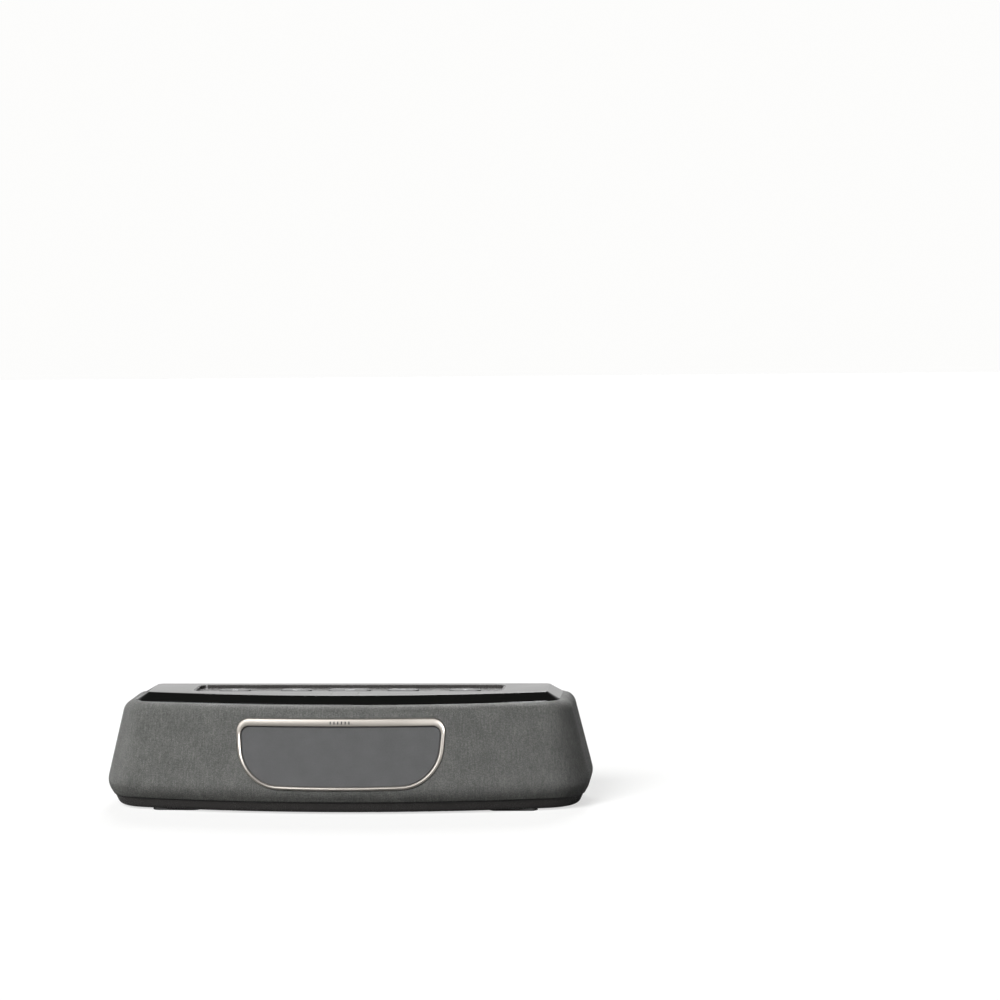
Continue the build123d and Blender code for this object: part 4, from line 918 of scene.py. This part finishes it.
def key_cap(name, finish):
    """A key with the lip that holds it in, rounded shoulders and a shallow dish for the finger."""
    low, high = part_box(name)
    x, y = (low.x + high.x) / 2, (low.y + high.y) / 2
    length, depth = high.x - low.x - 2 * KEY_LIP, high.y - low.y - 2 * KEY_LIP
    corner = depth / 2 - 0.1 * MM
    lip_top = low.z + KEY_LIP_DEPTH
    section = [(-KEY_LIP + 0.1 * MM, low.z), (-KEY_LIP, low.z + 0.1 * MM), (-KEY_LIP, lip_top - 0.1 * MM),
               (-KEY_LIP + 0.1 * MM, lip_top), (0.0, lip_top)]
    section += [(KEY_ROUND * (1 - cos(a)), high.z - KEY_ROUND * (1 - sin(a)))
                for a in (k * pi / 8 for k in range(5))]
    section += [(KEY_ROUND + (KEY_DISH_WIDTH - KEY_ROUND) * t, high.z - KEY_DISH * (3 * t ** 2 - 2 * t ** 3))
                for t in (0.2, 0.4, 0.6, 0.8, 1.0)]
    section.append((KEY_DISH_WIDTH + 1 * MM, high.z - KEY_DISH))
    rings = [[(px, py, z) for px, py in rounded_rectangle(x, y, length - 2 * inset, depth - 2 * inset,
                                                          corner - inset, 16)] for inset, z in section]
    points, faces = lofted(rings, close_ends=True)
    cap = new_piece(name + "_cap", points, faces, finish)
    cap.data.set_sharp_from_angle(angle=radians(50))
    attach(cap, name)
    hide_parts(name)
    return high.z - KEY_DISH


def make_keys(finishes, print_finish, strokes):
    marks = key_marks()
    for name in KEY_NAMES:
        height = key_cap(name, finishes["key_rubber"])
        low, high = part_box(name)
        curve = bpy.data.curves.new(name + "_mark", "CURVE")
        curve.dimensions = "3D"
        for line in marks[name]:
            closed = line[0] == line[-1]
            spots = line[:-1] if closed else line
            spline = curve.splines.new("POLY")
            spline.points.add(len(spots) - 1)
            spline.use_cyclic_u = closed
            for point, (x, y) in zip(spline.points, spots):
                point.co = (x * MM + (low.x + high.x) / 2, y * MM + (low.y + high.y) / 2,
                            height + 0.02 * MM, 1)
        mark = bpy.data.objects.new(name + "_mark", curve)
        bpy.context.scene.collection.objects.link(mark)
        mark = run_group(mark, strokes, {"Width": 0.5 * MM, "Height": 0.08 * MM, "Finish": print_finish})
        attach(mark, name)


# ---- the rest of the outside --------------------------------------------------------------------------
def make_ticks(bars, finish):
    """A row of small plain ticks on the ring's top bar."""
    z = RING_TOP_Z - RING_TOP_BAR / 2
    place = Matrix.Translation(Vector(on_front(0, z, RING_PROUD - 0.05 * MM)))
    place = place @ Matrix.Rotation(pi / 2 - LEAN, 4, "X")
    ticks = bar_row(bars, "ring_ticks", place, {
        "Count": 6, "Spacing": 2.6 * MM, "Length": 2.2 * MM, "Width": 0.9 * MM, "Height": 0.12 * MM,
        "Finish": finish})
    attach(ticks, "casing")


def make_foot_ribs(bars, finish):
    """Ribs across each foot. They lie inside its sole, so they do not show."""
    low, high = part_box("rubber_feet")
    for k, (x, y) in enumerate((x, y) for x in (low.x + FOOT_LENGTH / 2, high.x - FOOT_LENGTH / 2)
                               for y in (low.y + FOOT_DEPTH / 2, high.y - FOOT_DEPTH / 2)):
        place = Matrix.Translation((x, y, 0.02 * MM))
        ribs = bar_row(bars, f"foot_ribs_{k + 1}", place, {
            "Count": 9, "Spacing": 2.6 * MM, "Length": FOOT_DEPTH - 2.4 * MM, "Width": 1.2 * MM,
            "Height": 0.25 * MM,
            "Finish": finish})
        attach(ribs, "casing")


def finish_cad_nodes(finishes):
    """Gives every carried-over CAD node the material of its slot."""
    for part in frame["record"]["subparts"]:
        node = nodes[part["node"]]
        for index in range(len(node.material_slots)):
            node.material_slots[index].material = finishes[part["material_slot"]]


# ---- studio -------------------------------------------------------------------------------------------
def make_floor():
    floor_piece = new_piece("floor", [(-8, -8, 0), (8, -8, 0), (8, 8, 0), (-8, 8, 0)], [(0, 1, 2, 3)],
                            pale_floor(), smooth=False)


def make_world():
    """A pale backdrop low behind the object, with a dark studio above and to the sides."""
    world = bpy.data.worlds.new("studio")
    bpy.context.scene.world = world
    world.use_nodes = True
    tree = world.node_tree
    tree.nodes.clear()

    def link(kind, settings=None, inputs=None):
        made = tree.nodes.new(kind)
        for name, value in (settings or {}).items():
            setattr(made, name, value)
        for name, value in (inputs or {}).items():
            if isinstance(value, bpy.types.NodeSocket):
                tree.links.new(value, made.inputs[name])
            else:
                made.inputs[name].default_value = value
        return made

    way = link("ShaderNodeTexCoord").outputs["Generated"]
    axes = link("ShaderNodeSeparateXYZ", None, {"Vector": way})
    behind = link("ShaderNodeMapRange", {"interpolation_type": "SMOOTHSTEP"},
                  {"Value": axes.outputs["Y"], "From Min": 0.1, "From Max": 0.85})
    low = link("ShaderNodeMapRange", {"interpolation_type": "SMOOTHSTEP"},
               {"Value": axes.outputs["Z"], "From Min": 0.25, "From Max": 0.62, "To Min": 1.0, "To Max": 0.0})
    both = link("ShaderNodeMath", {"operation": "MULTIPLY"}, {0: behind.outputs[0], 1: low.outputs[0]})
    level = link("ShaderNodeMapRange", None, {"Value": both.outputs[0], "To Min": 0.045, "To Max": 0.85})
    seen = link("ShaderNodeLightPath")
    soft = link("ShaderNodeMix", {"data_type": "FLOAT"},
                {"Factor": seen.outputs["Is Diffuse Ray"], "A": level.outputs[0], "B": 0.035})
    strength = link("ShaderNodeMix", {"data_type": "FLOAT"},
                    {"Factor": seen.outputs["Is Camera Ray"], "A": soft.outputs[0], "B": 0.98})
    back = link("ShaderNodeBackground", None, {"Color": (1, 0.998, 0.99, 1), "Strength": strength.outputs[0]})
    link("ShaderNodeOutputWorld", None, {"Surface": back.outputs[0]})


def sun(name, azimuth, elevation, spread, strength, gloss_only=False):
    """A broad soft light from a direction: azimuth 0 is in front and 90 is to the right."""
    light = bpy.data.lights.new(name, "SUN")
    light.energy = strength
    light.angle = radians(spread)
    lamp = bpy.data.objects.new(name, light)
    lamp.visible_diffuse = not gloss_only
    a, e = radians(azimuth), radians(elevation)
    towards = Vector((sin(a) * cos(e), -cos(a) * cos(e), sin(e)))
    lamp.rotation_euler = towards.to_track_quat("Z", "Y").to_euler()
    bpy.context.scene.collection.objects.link(lamp)


def make_camera():
    azimuth, elevation, roll = radians(7.404), radians(8.924), radians(-0.66)
    yaw, pitch = radians(-2.873), radians(-4.499)
    distance = 2.2
    spot = Vector((sin(azimuth) * cos(elevation), -cos(azimuth) * cos(elevation), sin(elevation))) * distance
    spot.z += PLATE_TOP / 2
    a, e = azimuth + yaw, elevation + pitch
    axis = Vector((-sin(a) * cos(e), cos(a) * cos(e), -sin(e)))
    right = axis.cross(Vector((0, 0, 1))).normalized()
    up = right.cross(axis)
    rolled_right = right * cos(roll) + up * sin(roll)
    rolled_up = up * cos(roll) - right * sin(roll)
    data = bpy.data.cameras.new("camera")
    data.lens = 111.9
    data.sensor_width = 36
    data.clip_start = 0.05
    camera = bpy.data.objects.new("camera", data)
    turn = Matrix((rolled_right, rolled_up, -axis)).transposed().to_4x4()
    camera.matrix_world = Matrix.Translation(spot) @ turn
    bpy.context.scene.collection.objects.link(camera)
    bpy.context.scene.camera = camera


def make_studio():
    make_floor()
    make_world()
    sun("key", -26, 38, 30, 3.4)
    sun("left_fill", -42, 26, 30, 0.9)
    sun("left_gloss", -112, 20, 24, 2.4, gloss_only=True)
    sun("right_gloss", 30, 20, 20, 6.0, gloss_only=True)
    sun("back_fill", 180, 40, 25, 1.8)
    make_camera()
    bpy.context.scene.view_settings.view_transform = "Standard"


# ---- build --------------------------------------------------------------------------------------------
finishes = make_finishes()
ink = white_print()
finish_cad_nodes(finishes)
make_speaker_cloth(finishes["speaker_cloth"])
make_front_ring(finishes["ring_metal"])
make_display_cloth(finishes["display_cloth"])
make_top_plate(finishes["gloss_black"])
make_keys(finishes, ink, stroke_tree())
bars = row_tree()
make_ticks(bars, finishes["satin_black"])
make_foot_ribs(bars, finishes["foot_rubber"])
make_studio()
